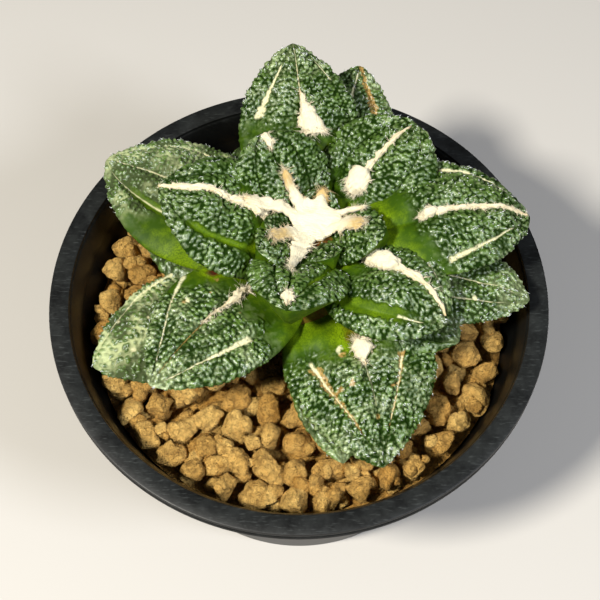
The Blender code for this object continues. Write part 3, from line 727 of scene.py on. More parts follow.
def clay_grains(colours):
    """Dried volcanic clay broken into grains: dull, porous and crumbly, with painted shade darkening its pits and
    crack lines.
    """
    made, tree, shader = new_material("dry porous clay")
    place = add_node(tree, "ShaderNodeTexCoord").outputs["Object"]
    tone = add_node(tree, "ShaderNodeAttribute", attribute_name="tone").outputs["Fac"]
    # Uneven firing and damp, patches of 3 mm
    patches = add_node(
        tree, "ShaderNodeTexNoise", {"Vector": place, "Scale": per_metre(3.0), "Detail": 5.0}
    )
    shade = add_node(
        tree,
        "ShaderNodeMath",
        {0: patches.outputs[0], 1: 0.9, 2: tone},
        operation="MULTIPLY_ADD",
    )
    mixing = add_node(
        tree, "ShaderNodeMapRange", {"Value": shade.outputs[0], "From Min": 0.3, "From Max": 1.25}
    )
    clay = add_node(
        tree,
        "ShaderNodeMix",
        {0: mixing.outputs[0], 6: colours.dark, 7: colours.light},
        data_type="RGBA",
    )
    # Crusty lumps of 1.2 mm and pores of 0.7 mm, with painted shade darkening the crack lines between the lumps and
    # the pores
    wobble = add_node(
        tree, "ShaderNodeTexNoise", {"Vector": place, "Scale": per_metre(0.9), "Detail": 3.0}
    )
    warped = add_node(
        tree,
        "ShaderNodeVectorMath",
        {0: wobble.outputs["Color"], 1: (1.2 * MM,) * 3, 2: place},
        operation="MULTIPLY_ADD",
    )
    lumps = add_node(
        tree, "ShaderNodeTexVoronoi", {"Vector": warped.outputs[0], "Scale": per_metre(1.2)}
    )
    crack_shade = add_node(
        tree,
        "ShaderNodeMapRange",
        {"Value": lumps.outputs["Distance"], "From Min": 0.45, "From Max": 0.85, "To Max": 0.5},
    )
    pores = add_node(
        tree,
        "ShaderNodeTexNoise",
        {"Vector": place, "Scale": per_metre(0.7), "Detail": 5.0, "Roughness": 0.7},
    )
    holes = add_node(
        tree,
        "ShaderNodeMapRange",
        {"Value": pores.outputs[0], "From Min": 0.44, "From Max": 0.28, "To Max": 0.6},
    )
    # Painted shade: the crack lines and pores take the darker colour
    deep = add_node(
        tree, "ShaderNodeMath", {0: crack_shade.outputs[0], 1: holes.outputs[0]}, operation="MAXIMUM"
    )
    colour = add_node(
        tree,
        "ShaderNodeMix",
        {0: deep.outputs[0], 6: clay.outputs[2], 7: colours.crevice_shade},
        data_type="RGBA",
    )
    tree.links.new(colour.outputs[2], shader.inputs["Base Color"])
    shader.inputs["Roughness"].default_value = 0.95
    shader.inputs["Specular IOR Level"].default_value = 0.2
    low = add_node(
        tree,
        "ShaderNodeBump",
        {"Height": lumps.outputs["Distance"], "Strength": 1.0, "Distance": 1.3 * MM},
        invert=True,
    )
    high = add_node(
        tree,
        "ShaderNodeBump",
        {"Height": pores.outputs[0], "Strength": 1.0, "Distance": 1.6 * MM, "Normal": low.outputs[0]},
    )
    tree.links.new(high.outputs[0], shader.inputs["Normal"])
    return made


def bed_level(bed, plant, pot, places):
    """Height of the bed's surface: level, with a shallow crater round the stem."""
    away = np.hypot(places[:, 0] - plant.axis_x, places[:, 1] - plant.axis_y)
    crater = 1 - np.clip((away - 15 * MM) / (9 * MM), 0, 1)
    return pot.height - bed.drop - 2.6 * MM * crater


def ring_grains(pot, bed, plant):
    """Places and radii of the top grains: rings from the wall inwards, each grain strayed a little."""
    rng = random.Random(bed.seed)
    level = pot.height - bed.drop
    edge = (float(mouth_radius(pot, level)) - GAP) * math.cos(math.pi / 48) - bed.smallest
    found = []
    ring = 0
    while edge - ring * bed.spacing * 0.9 > 0:
        radius = edge - ring * bed.spacing * 0.9
        count = max(1, round(2 * math.pi * radius / bed.spacing))
        for number in range(count):
            turn = 2 * math.pi * (number + ring / 2) / count
            distance = radius - abs(rng.uniform(-0.7 * MM, 0.7 * MM))
            turn += rng.uniform(-0.7 * MM, 0.7 * MM) / radius
            x, y = distance * math.cos(turn), distance * math.sin(turn)
            from_axis = math.hypot(x - plant.axis_x, y - plant.axis_y)
            crater = 1 - min(1.0, max(0.0, (from_axis - 15 * MM) / (9 * MM)))
            z = level - 2.6 * MM * crater + rng.uniform(-0.7 * MM, 0.7 * MM)
            if from_axis > 21 * MM:
                found.append((x, y, z, rng.uniform(bed.smallest, bed.largest)))
                for _ in range(24):
                    rng.random()
                rng.uniform(0, math.pi)
                for _ in range(3):
                    rng.gauss(0, 1)
        ring += 1
    return np.array(found)


def scattered_grains(pot, bed, plant, count, radii, drop, spread, seed):
    """Places and radii of loose grains over the bed, evenly by area."""
    rng = np.random.default_rng(seed)
    reach = float(mouth_radius(pot, pot.height - bed.drop)) - radii[1] - GAP
    distance = reach * np.sqrt(rng.uniform(0.12, 1, count))
    turns = rng.uniform(0, 2 * math.pi, count)
    flat = np.stack([distance * np.cos(turns), distance * np.sin(turns)], axis=-1)
    height = bed_level(bed, plant, pot, flat) + drop + rng.uniform(-spread, spread, count)
    return np.column_stack([flat, height, rng.uniform(*radii, count)])


def boulders(spots, rows, columns, seed):
    """Angular grains, one for each (x, y, z, radius).

    Over latitude and longitude, the distance from the middle is a soft minimum of 13 random
    planes' distances, the p-norm of cos(angle to plane) / distance to the power -1, times noise.
    """
    rng = np.random.default_rng(seed)
    count = len(spots)
    latitude = np.linspace(-math.pi / 2, math.pi / 2, rows + 2)[1:-1, None]
    longitude = np.arange(columns)[None, :] * 2 * math.pi / columns
    grid = np.stack(
        [
            np.cos(latitude) * np.cos(longitude),
            np.cos(latitude) * np.sin(longitude),
            np.sin(latitude) * np.ones(columns),
        ],
        axis=-1,
    ).reshape(-1, 3)
    directions = np.vstack([grid, (0, 0, -1), (0, 0, 1)])
    normals = unit(rng.normal(size=(count, 13, 3)))
    depths = rng.uniform(0.72, 1.05, (count, 13))
    facing = np.clip(np.einsum("vj,nkj->nvk", directions, normals), 0, None) / depths[:, None, :]
    power = 14.0
    radius = (np.sum(facing**power, axis=-1) + 0.7**power) ** (-1 / power)
    radius = radius / radius.mean(axis=1, keepdims=True)
    own = rng.uniform(0, 30, (count, 1, 3))
    for size, depth in ((0.8, 0.10), (0.4, 0.11), (0.2, 0.06)):
        radius = radius * (1 + depth * cloud(directions + own, size, seed + int(100 * size)))
    scales = rng.uniform((0.9, 0.8, 0.7), (1.2, 1.0, 0.95), (count, 3))
    shape = directions[None] * radius[..., None] * scales[:, None] * spots[:, 3, None, None]
    turns = np.linalg.qr(rng.normal(size=(count, 3, 3)))[0]
    turns *= np.sign(np.linalg.det(turns))[:, None, None]
    points = np.einsum("nij,nvj->nvi", turns, shape) + spots[:, None, :3]
    body = grid_faces(rows, columns, wrap=True)
    first = np.arange(columns)
    ends = (rows * columns, rows * columns + 1)
    blocks = [body, fan_faces(first, ends[0])[:, ::-1], fan_faces(first + (rows - 1) * columns, ends[1])]
    shift = (np.arange(count) * len(directions))[:, None, None]
    faces = [(block[None] + shift).reshape(-1, block.shape[1]) for block in blocks]
    tone = np.repeat(rng.uniform(0, 0.65, count), len(directions))
    return points.reshape(-1, 3), faces, {"tone": tone}


def keep_in_pot(points, pot):
    """Draws in the points that would touch the pot's wall."""
    away = np.hypot(points[:, 0], points[:, 1])
    room = (mouth_radius(pot, points[:, 2]) - GAP) / np.maximum(away, MM)
    points[:, :2] *= np.minimum(1.0, room)[:, None]
    return points


class ROCKCACTUS_OT_make_bed(bpy.types.Operator):
    """Fill the pot and lay clay grains on the filling"""

    bl_idname = "rock_cactus.make_bed"
    bl_label = "Make Clay Grain Bed"

    def execute(self, context):
        scene = context.scene
        pot, bed, plant = scene.rock_cactus_pot, scene.rock_cactus_bed, scene.rock_cactus_plant
        finish = clay_grains(bed)
        tops = ring_grains(pot, bed, plant)
        tops[:, 3] *= 0.87
        under = scattered_grains(pot, bed, plant, 300, (2.0 * MM, 3.0 * MM), -3.2 * MM, MM, 5)
        small = scattered_grains(pot, bed, plant, 220, (0.9 * MM, 2.2 * MM), 0.6 * MM, 0.8 * MM, 6)
        parts = [
            boulders(tops, 17, 25, 21),
            boulders(under, 5, 8, 22),
            boulders(small, 6, 9, 23),
        ]
        points, faces, fields = join_parts(parts)
        points = keep_in_pot(points, pot)
        replaced = ("clay_grain_bed",)
        add_piece("clay_grains", points, faces, finish, replaced, fields)

        floor = pot.foot_height + pot.floor + GAP
        fill = pot.height - bed.drop - 4.5 * MM
        heights = np.linspace(floor, fill, 12)
        outline = [(0.0, floor)]
        outline += [(float(mouth_radius(pot, height)) - GAP, height) for height in heights]
        points, faces = lathe(outline + [(0.0, fill)], 96)
        # Painted shade: tone 0, the darkest of the grains', keeps the filling dark where it shows between them
        tone = {"tone": np.zeros(len(points))}
        add_piece("grain_filling", points, faces, finish, replaced, tone)
        return {"FINISHED"}


# Plant


def tubercle_axes(plant, number):
    """A tubercle's start on the stem's axis, its tip, and its directions along, across and up."""
    spec = TUBERCLES[number]
    rim = bpy.context.scene.rock_cactus_pot.height
    azimuth = math.radians(plant.first_azimuth + plant.golden_angle * number + spec.lean)
    out = np.array([math.cos(azimuth), math.sin(azimuth), 0.0])
    start = np.array([plant.axis_x, plant.axis_y, rim + spec.root * MM])
    tip = np.array([plant.axis_x, plant.axis_y, rim + spec.tip * MM]) + out * spec.reach * MM
    along = unit(tip - start)
    across = np.array([-out[1], out[0], 0.0])
    return start, tip, along, across, np.cross(along, across)


def half_width(spec, shares):
    """Half the width, W/2 s^p (1-s)^taper over its peak, with p = taper wide / (1 - wide)."""
    power = spec.taper * spec.wide / (1 - spec.wide)
    peak = spec.wide**power * (1 - spec.wide) ** spec.taper
    return 0.5 * spec.width * MM * shares**power * (1 - shares) ** spec.taper / peak


def furrow_sides(number, shares):
    """Where a tubercle's three furrows run: straight lines through their two given places."""
    part = np.clip((shares - 0.5) / 0.45, -0.3, 1.1)
    lines = FURROWS.get(number, PLAIN_FURROWS)
    return [first + (last - first) * part for first, last in lines]


def section_rise(sides, furrow, lines):
    """Height across the top in half widths: rounded margin and low crown, less three creases.

    A crease is furrow times exp(-sqrt((distance / width)^2 + 0.1)), and fades at the margin.
    """
    rise = MARGIN_RISE * np.sqrt(np.clip(1 - np.abs(sides) ** 3, 0, 1))
    rise = rise + CROWN_RISE * (1 - sides**2)
    for line in lines:
        crease = np.exp(-np.sqrt(((sides - line) / FURROW_WIDTH) ** 2 + 0.1))
        rise = rise - furrow * crease * (1 - sides**4)
    return rise


def top_places(plant, number, shares, sides, depth=1.0):
    """Points on a tubercle's top, for shares of its length and sides from -1 to 1.

    start + length s along + (half t + bend bow) across + (half rise + arch bow + swell) up,
    with bow = 4 s (1 - s) mm and a swell of soft noise. depth scales the furrows.
    """
    spec = TUBERCLES[number]
    start, tip, along, across, up = tubercle_axes(plant, number)
    half = half_width(spec, shares)
    bow = 4 * shares * (1 - shares) * MM
    reach = shares * np.linalg.norm(tip - start)
    sideways = half * sides + spec.bend * bow
    flat = np.stack(np.broadcast_arrays(reach, sideways), axis=-1)
    swell = 0.75 * MM * cloud(flat, 4.5 * MM, number) * smooth_step(half / (5 * MM))
    rise = section_rise(sides, depth * plant.furrow, furrow_sides(number, shares))
    height = half * rise + spec.arch * bow + swell
    place = start + reach[..., None] * along
    return place + sideways[..., None] * across + height[..., None] * up


def surface_normals(places):
    """Outward directions of a grid of places whose rows run along and columns across."""
    return unit(np.cross(np.gradient(places, axis=0), np.gradient(places, axis=1)))


def wart_domes(reach, sideways, spacing, radius, seed):
    """Height of the warts from 0 to 1, for a mean radius as a share of their spacing.

    Warts stand in staggered rows, strayed at random and stretched in a V from the middle. Each is
    a dome (1 - d^2)^0.7 of the distance d in its own radii, and the highest of the nearest
    nine counts.
    """
    rng = np.random.default_rng(seed)
    stray = rng.uniform(-0.33, 0.33, (64, 64, 2))
    turn = rng.normal(0, 0.5, (64, 64))
    tall = rng.uniform(0.5, 1.0, (64, 64))
    size = rng.uniform(0.8, 1.12, (64, 64))
    flat = np.stack([reach, sideways], axis=-1)
    row = (reach + 0.3 * MM * cloud(flat, 2.5 * MM, seed + 1)) / spacing
    column = (sideways + 0.3 * MM * cloud(flat, 2.5 * MM, seed + 2)) / spacing
    best = np.zeros(np.shape(row))
    for row_step, column_step in itertools.product((-1, 0, 1), repeat=2):
        row_cell = np.floor(row) + row_step
        stagger = 0.5 * (row_cell % 2)
        column_cell = np.floor(column + stagger) + column_step
        i, j = row_cell.astype(int) % 64, column_cell.astype(int) % 64
        x = row - (row_cell + 0.5 + stray[i, j, 0])
        y = column + stagger - (column_cell + 0.5 + stray[i, j, 1])
        lie = turn[i, j] + np.where(column_cell < 0, 2.2, 0.9)
        cos, sin = np.cos(lie), np.sin(lie)
        away = ((x * cos + y * sin) * 0.88) ** 2 + ((y * cos - x * sin) * 1.15) ** 2
        dome = np.clip(1 - away / (radius * size[i, j]) ** 2, 0, 1) ** 0.7
        best = np.maximum(best, dome * tall[i, j])
    return best


def mark_field(streaks, spots, number, shares, sides, broken):
    """Where the listed streaks and spots show: 1 inside their ragged outlines, 0 outside.

    A streak narrows as 0.2 + 0.8 (1 - share)^1.5 of its width.
    """
    half = half_width(TUBERCLES[number], shares)
    start, tip = tubercle_axes(bpy.context.scene.rock_cactus_plant, number)[:2]
    length = np.linalg.norm(tip - start)
    lines = furrow_sides(number, shares)
    total = np.zeros(broken.shape)
    for streak in streaks:
        if streak.tubercle == number:
            share = (shares - streak.start) / (streak.end - streak.start)
            narrowing = 0.2 + 0.8 * (1 - np.clip(share, 0, 1)) ** 1.5
            width = 0.5 * streak.width * MM * narrowing * (1 + 0.55 * broken)
            away = np.abs(sides - lines[streak.furrow]) * half
            ends = smooth_step(share / 0.05) * smooth_step((1 - share) / 0.1)
            total = np.maximum(total, ends * smooth_step(0.5 + (width - away) / (0.3 * MM)))
    for spot in spots:
        if spot.tubercle == number:
            away = np.hypot((shares - spot.share) * length, (sides - spot.side) * half)
            width = 0.5 * spot.size * MM * (1 + 0.8 * broken)
            total = np.maximum(total, smooth_step(0.5 + (width - away) / (0.4 * MM)))
    return total


def even_sides(spec, furrow, cell):
    """Places across the top that lie evenly along the widest cross section."""
    fine = np.sin(np.linspace(-math.pi / 2, math.pi / 2, 801))
    rise = section_rise(fine, furrow, (-0.5, 0.0, 0.5))
    arc = np.concatenate([[0.0], np.cumsum(np.hypot(np.diff(fine), np.diff(rise)))])
    count = max(24, int(arc[-1] * 0.45 * spec.width * MM / cell))
    return np.interp(np.linspace(0, arc[-1], count), arc, fine)


def length_shares(plant, number):
    """Shares of a tubercle's length for its rows, a third as dense where all its skin is smooth."""
    skin = SKINS[number]
    start, tip = tubercle_axes(plant, number)[:2]
    cell = plant.cell * (1.0 if number <= LAST_SEEN else 1.8) / np.linalg.norm(tip - start)
    change = max(skin.smooth - abs(skin.slant) - 0.12, ROOT_SHARE + 0.03)
    smooth = np.linspace(ROOT_SHARE, change, int((change - ROOT_SHARE) / cell / 3) + 2)[:-1]
    warty = np.linspace(change, TIP_SHARE, max(16, int((TIP_SHARE - change) / cell)))
    return np.concatenate([smooth, warty])[:, None]


def tubercle_top(plant, number):
    """The warted top of a tubercle as a grid of places, with its normals and fields."""
    spec, skin = TUBERCLES[number], SKINS[number]
    start, tip = tubercle_axes(plant, number)[:2]
    length = np.linalg.norm(tip - start)
    cell = plant.cell * (1.0 if number <= LAST_SEEN else 1.8)
    shares = length_shares(plant, number)
    sides = even_sides(spec, plant.furrow, cell)[None, :]
    half = half_width(spec, shares)
    places = top_places(plant, number, shares, sides)
    normals = surface_normals(places)

    reach = shares * length + 0 * sides
    sideways = half * sides
    flat = np.stack([reach, sideways], axis=-1)
    patchy = cloud(flat, 3.5 * MM, 90 + number)
    broken = 0.6 * cloud(flat, 1.1 * MM, 60 + number) + 0.4 * cloud(flat, 0.5 * MM, 61 + number)
    edge = skin.smooth - 0.05 + 0.06 * patchy + 0.04 * broken + skin.slant * sides
    warty = smooth_step((shares - edge) / 0.13)
    cream = mark_field(CREAM_STREAKS, CREAM_SPOTS, number, shares, sides, broken)
    rust = mark_field(RUST_STREAKS, RUST_SPOTS, number, shares, sides, 1.4 * broken)
    blush = np.zeros(reach.shape)
    for spot in BLUSHES:
        if spot.tubercle == number:
            away = np.hypot((shares - spot.share) * length, (sides - spot.side) * half)
            blush = blush + np.exp(-((away / (0.5 * spot.size * MM)) ** 2))
    crease = np.zeros(reach.shape)
    lines = furrow_sides(number, shares)
    for line in lines:
        crease = np.maximum(crease, np.exp(-(((sides - line) * half / (0.3 * MM)) ** 2)))
    pale = np.zeros(reach.shape)
    if number in SMOOTH_FURROWS:
        line, width, end = SMOOTH_FURROWS[number]
        away = np.abs(sides - lines[line]) * half
        band = smooth_step(0.5 + (0.5 * width * MM * (1 + 0.5 * broken) - away) / (0.6 * MM))
        pale = band * smooth_step((end - shares) / 0.15)
        warty = warty * (1 - pale)
    for spot in BARE_SPOTS:
        if spot.tubercle == number:
            away = np.hypot((shares - spot.share) * length, (sides - spot.side) * half)
            inside = 0.5 * spot.size * MM * (1 + 0.4 * broken) - away
            warty = warty * (1 - smooth_step(0.5 + inside / (0.8 * MM)))
    room = smooth_step(half / (3.5 * MM)) * 0.7 + 0.3
    radius = (0.62 - 0.1 * skin.old) * (1 + 0.12 * patchy)
    domes = wart_domes(reach, sideways, skin.spacing * MM, radius, 7 * number)
    lush = np.clip(0.95 + 0.4 * cloud(flat, 2.6 * MM, 30 + number), 0.6, 1.15)
    warts = domes * lush * warty * room * (1 - 0.85 * cream) * (1 - 0.7 * crease)
    relief = plant.wart_height * warts + 0.12 * MM * cream
    hoar = np.clip(0.8 + 1.2 * patchy + 0.5 * broken, 0.1, 1.4)
    tipped = smooth_step((shares + 0.1 * broken - 0.82) / 0.14) * (1 - skin.old)
    fields = {
        "wart": warts / room,
        "bare": 1 - warty,
        "deep": np.clip(1.8 * (edge - shares) / (edge.mean() - ROOT_SHARE), 0, 1) * skin.glow + blush + 0.17 * pale,
        "cream": cream * (0.85 + 0.15 * broken),
        "rust": rust,
        "old": skin.old * np.clip(0.3 + 1.6 * patchy + 0.6 * broken, 0.12, 1) + 0 * reach,
        "frost": skin.frost * hoar + 0.7 * tipped,
    }
    return places + normals * relief[..., None], normals, fields


def tubercle_part(plant, number):
    """A closed tubercle: its warted top, its keeled underside, and a point at each end."""
    spec = TUBERCLES[number]
    top, _, fields = tubercle_top(plant, number)
    shares = length_shares(plant, number)
    start, tip, along, across, up = tubercle_axes(plant, number)
    half = half_width(spec, shares)
    under = np.sin(np.linspace(math.pi / 2, -math.pi / 2, 20))[None, 1:-1]
    fall = MARGIN_RISE * half * np.sqrt(1 - np.abs(under) ** 3)
    fall = fall + spec.keel * MM * (half / half.max()) * (1 - np.abs(under)) ** 1.2
    bow = 4 * shares * (1 - shares) * MM
    middle = start + shares[..., None] * (tip - start)
    below = middle + (half * under + spec.bend * bow)[..., None] * across
    below = below + (spec.arch * bow - fall)[..., None] * up
    rings = np.concatenate([top, below], axis=1)
    rows, columns = rings.shape[:2]
    points = np.vstack([rings.reshape(-1, 3), rings[0].mean(axis=0), tip])
    first = np.arange(columns)
    faces = [grid_faces(rows, columns, wrap=True)]
    faces.append(fan_faces(first, rows * columns)[:, ::-1])
    faces.append(fan_faces(first + (rows - 1) * columns, rows * columns + 1))
    blank = np.zeros(below.shape[:2])
    # How bright the smooth skin grows towards the stem, set lower on tubercle 14, whose base lies in shade: partly
    # painted shade
    glow = SKINS[number].glow * np.clip(1.1 - shares, 0, 1)
    beneath = {"bare": blank + 1, "deep": glow + blank}
    joined = {}
    for field, values in fields.items():
        whole = np.hstack([values, beneath.get(field, blank)])
        joined[field] = np.append(whole.ravel(), (whole[0].mean(), whole[-1].mean()))
    return points, faces, joined


def cactus_skin(colours):
    """Living skin of the tubercles: waxy green warts with pale tips and painted highlights on their tops, over
    darker skin with painted shade in its hollows.

    The smooth base runs from green through amber to crimson between the tubercles.
    """
    made, tree, shader = new_material("waxy cactus skin")
    place = add_node(tree, "ShaderNodeTexCoord").outputs["Object"]
    field = {
        name: add_node(tree, "ShaderNodeAttribute", attribute_name=name).outputs["Fac"]
        for name in ("wart", "bare", "deep", "cream", "rust", "old", "frost")
    }

    def mix(factor, first, second):
        sockets = {0: factor, 6: first, 7: second}
        return add_node(tree, "ShaderNodeMix", sockets, data_type="RGBA").outputs[2]

    def remap(value, low, high, top=1.0):
        sockets = {"Value": value, "From Min": low, "From Max": high, "To Max": top}
        return add_node(tree, "ShaderNodeMapRange", sockets).outputs[0]

    def noise(millimetres, detail):
        sockets = {"Vector": place, "Scale": per_metre(millimetres), "Detail": detail}
        return add_node(tree, "ShaderNodeTexNoise", sockets).outputs[0]

    def calculate(operation, *values):
        sockets = dict(enumerate(values))
        return add_node(tree, "ShaderNodeMath", sockets, operation=operation).outputs[0]

    # Skin between the warts, dark on young tubercles as painted shade in the hollows, and paler on old tubercles
    valley = mix(field["old"], colours.valley, colours.old_valley)
    # Green varies over 4 mm
    green = mix(remap(noise(4.0, 3.0), 0.3, 0.7), colours.wart, colours.shoulder)
    warty = mix(remap(field["wart"], 0.15, 0.6), valley, green)
    # Wax and short hair in flecks of 0.5 mm, on the warts most and heaviest on their tops, where the pale colour
    # also serves as painted highlights
    flecks = noise(0.55, 4.0)
    wax_and_glints = remap(calculate("MULTIPLY_ADD", field["frost"], 0.17, flecks), 0.62, 0.92)
    tops = calculate("MULTIPLY_ADD", remap(field["wart"], 0.1, 0.6), 0.5, 0.2)
    tops = calculate("MULTIPLY", wax_and_glints, tops)
    warty = mix(tops, warty, colours.frost)
    # Smooth base, mottled over 2 mm and in fine darker specks of 0.3 mm, with a pale waxy bloom at its edge that is
    # partly a painted sheen
    age = calculate("MULTIPLY_ADD", noise(2.0, 4.0), 0.6, field["deep"])
    smooth = mix(remap(age, 0.3, 0.85), colours.shoulder, colours.base)
    smooth = mix(remap(age, 0.95, 1.25), smooth, colours.amber)
    smooth = mix(remap(age, 1.3, 1.5), smooth, colours.crimson)
    smooth = mix(remap(noise(0.3, 2.0), 0.42, 0.65, 0.6), smooth, colours.shoulder)
    # Painted sheen, partly waxy bloom: pale colour on the smooth skin next to the warts
    bloom_and_sheen = calculate("MULTIPLY_ADD", noise(1.5, 4.0), 0.8, remap(field["deep"], 0.0, 0.4, -1.0))
    bloom_and_sheen = calculate("MULTIPLY_ADD", field["frost"], 0.15, bloom_and_sheen)
    smooth = mix(remap(bloom_and_sheen, 0.5, 1.0, 0.28), smooth, colours.frost)
    colour = mix(field["bare"], warty, smooth)
    scars = calculate("MULTIPLY", remap(field["rust"], 0.1, 0.9, 0.9), remap(flecks, 0.3, 0.55))
    colour = mix(scars, colour, colours.rust)
    colour = mix(calculate("MULTIPLY", field["cream"], remap(flecks, 0.2, 0.45)), colour, colours.cream)
    tree.links.new(colour, shader.inputs["Base Color"])
    rough = add_node(
        tree,
        "ShaderNodeMapRange",
        {"Value": flecks, "From Min": 0.3, "From Max": 0.7, "To Min": 0.24, "To Max": 0.5},
    ).outputs[0]
    shine = remap(field["wart"], 0.15, 0.5)
    for socket, first, second in (("Roughness", rough, 0.5), ("Specular IOR Level", shine, 0.1)):
        between = {0: field["bare"], 2: first, 3: second}
        both = add_node(tree, "ShaderNodeMix", between, data_type="FLOAT")
        tree.links.new(both.outputs[0], shader.inputs[socket])
    # Pores and wrinkles of 0.35 mm on the warts
    bump = add_node(
        tree,
        "ShaderNodeBump",
        {
            "Height": calculate("MULTIPLY", noise(0.35, 3.0), remap(field["bare"], 1.0, 0.0)),
            "Strength": 1.0,
            "Distance": 0.17 * MM,
        },
    )
    tree.links.new(bump.outputs[0], shader.inputs["Normal"])
    shader.inputs["Specular Tint"].default_value = linear("#eef4f4")
    tree.links.new(remap(field["wart"], 0.3, 0.8, 0.85), shader.inputs["Coat Weight"])
    shader.inputs["Coat Roughness"].default_value = 0.28
    return made


def stem_outline(pot, bed):
    """Root tip, taproot that widens as a power curve, neck and low dome."""
    neck = pot.height - bed.drop - 2.6 * MM
    share = np.linspace(0, 1, 14)
    root = np.column_stack([15 * MM * share**0.75, neck - 36 * MM * (1 - share)])
    turn = np.linspace(0, math.pi / 2, 9)
    widest = neck + 4 * MM
    top = pot.height + 14.5 * MM
    dome = np.column_stack([17 * MM * np.cos(turn), widest + (top - widest) * np.sin(turn)])
    dome[-1, 0] = 0.0
    return np.vstack([root, dome])


class ROCKCACTUS_OT_make_plant(bpy.types.Operator):
    """Make the stem and its rosette of warty tubercles"""

    bl_idname = "rock_cactus.make_plant"
    bl_label = "Make Plant"

    def execute(self, context):
        scene = context.scene
        plant = scene.rock_cactus_plant
        finish = cactus_skin(plant)
        groups = {
            "tubercles_young": range(0, 10),
            "tubercles_grown": range(10, 13),
            "tubercles_old": range(13, 16),
            "tubercles_low": range(16, len(TUBERCLES)),
        }
        for name, numbers in groups.items():
            points, faces, fields = join_parts([tubercle_part(plant, n) for n in numbers])
            add_piece(name, points, faces, finish, ("cactus_body",), fields)

        points, faces = lathe(stem_outline(scene.rock_cactus_pot, scene.rock_cactus_bed), 72)
        away = unit(points * (1, 1, 0))
        points = points + away * 0.5 * MM * cloud(points * (1, 1, 2.5), 3 * MM, 3)[:, None]
        points = points + (plant.axis_x, plant.axis_y, 0.0)
        blank = np.zeros(len(points))
        fields = {name: blank for name in ("wart", "cream", "old", "frost")}
        fields["bare"] = blank + 1
        fields["deep"] = blank + 1.1
        fields["rust"] = blank + 0.2
        add_piece("stem", points, faces, finish, ("cactus_body",), fields)
        return {"FINISHED"}


# Wool

RELIEF_CELL = 0.4 * MM
RELIEF_SIZE = 110
STRIPE_ROWS = 80
STRIPE_COLUMNS = 17


def plant_wool(name, pale, dark):
    """Matted plant wool: a dense felt of fine fibres, pale where thick and darker where thin."""
    made, tree, shader = new_material(name)
    place = add_node(tree, "ShaderNodeTexCoord").outputs["Object"]
    thin = add_node(tree, "ShaderNodeAttribute", attribute_name="thin").outputs["Fac"]
    # Fibres combed along the felt: streaks 0.25 mm wide
    along, across = (
        add_node(tree, "ShaderNodeAttribute", attribute_name=name).outputs["Fac"]
        for name in ("along", "across")
    )
    flat = add_node(tree, "ShaderNodeCombineXYZ", {"X": along, "Y": across}).outputs[0]
    combed = add_node(tree, "ShaderNodeMapping", {"Vector": flat, "Scale": (0.16, 1.0, 1.0)})
    streaks = add_node(
        tree,
        "ShaderNodeTexNoise",
        {"Vector": combed.outputs[0], "Scale": per_metre(0.25), "Detail": 3.0, "Distortion": 0.6},
    )
    # Matted locks of 0.8 mm
    locks = add_node(
        tree,
        "ShaderNodeTexNoise",
        {"Vector": place, "Scale": per_metre(0.8), "Detail": 5.0, "Roughness": 0.7},
    )
    combed = add_node(
        tree,
        "ShaderNodeMath",
        {0: streaks.outputs[0], 1: 0.8, 2: thin},
        operation="MULTIPLY_ADD",
    )
    worn = add_node(
        tree,
        "ShaderNodeMath",
        {0: locks.outputs[0], 1: 0.7, 2: combed.outputs[0]},
        operation="MULTIPLY_ADD",
    )
    mixing = add_node(
        tree, "ShaderNodeMapRange", {"Value": worn.outputs[0], "From Min": 0.85, "From Max": 1.9}
    )
    colour = add_node(
        tree,
        "ShaderNodeMix",
        {0: mixing.outputs[0], 6: pale, 7: dark},
        data_type="RGBA",
    )
    tree.links.new(colour.outputs[2], shader.inputs["Base Color"])
    shader.inputs["Roughness"].default_value = 1.0
    shader.inputs["Specular IOR Level"].default_value = 0.2
    shader.inputs["Sheen Weight"].default_value = 0.3
    relief = add_node(
        tree,
        "ShaderNodeMath",
        {0: streaks.outputs[0], 1: 1.5, 2: locks.outputs[0]},
        operation="MULTIPLY_ADD",
    )
    bump = add_node(
        tree,
        "ShaderNodeBump",
        {"Height": relief.outputs[0], "Strength": 0.8, "Distance": 0.2 * MM},
    )
    tree.links.new(bump.outputs[0], shader.inputs["Normal"])
    return made


def crown_relief(scene):
    """Heights that a felt over the crown rests on, in square cells, and their low corner.

    They are the highest of the stem's dome and the young tubercles in each cell, raised to their
    highest neighbour twice and then averaged with their neighbours eight times.
    """
    plant, pot, bed = scene.rock_cactus_plant, scene.rock_cactus_pot, scene.rock_cactus_bed
    low = np.array([plant.axis_x, plant.axis_y]) - 0.5 * RELIEF_SIZE * RELIEF_CELL
    middle = (np.arange(RELIEF_SIZE) + 0.5 - 0.5 * RELIEF_SIZE) * RELIEF_CELL
    away = np.hypot(middle[:, None], middle[None, :])
    widest = pot.height - bed.drop + 1.4 * MM
    top = pot.height + 14.5 * MM
    relief = widest + (top - widest) * np.sqrt(np.clip(1 - (away / (17 * MM)) ** 2, 0, 1))
    for number in range(10):
        places = tubercle_top(plant, number)[0].reshape(-1, 3)
        index = ((places[:, :2] - low) / RELIEF_CELL).astype(int)
        inside = np.all((index >= 0) & (index < RELIEF_SIZE), axis=1)
        np.maximum.at(relief, (index[inside, 0], index[inside, 1]), places[inside, 2])
    for combine in (np.max, np.max, *[np.mean] * 8):
        padded = np.pad(relief, 1, mode="edge")
        near = [
            padded[i : i + RELIEF_SIZE, j : j + RELIEF_SIZE]
            for i, j in itertools.product(range(3), repeat=2)
        ]
        relief = combine(near, axis=0)
    return relief, low


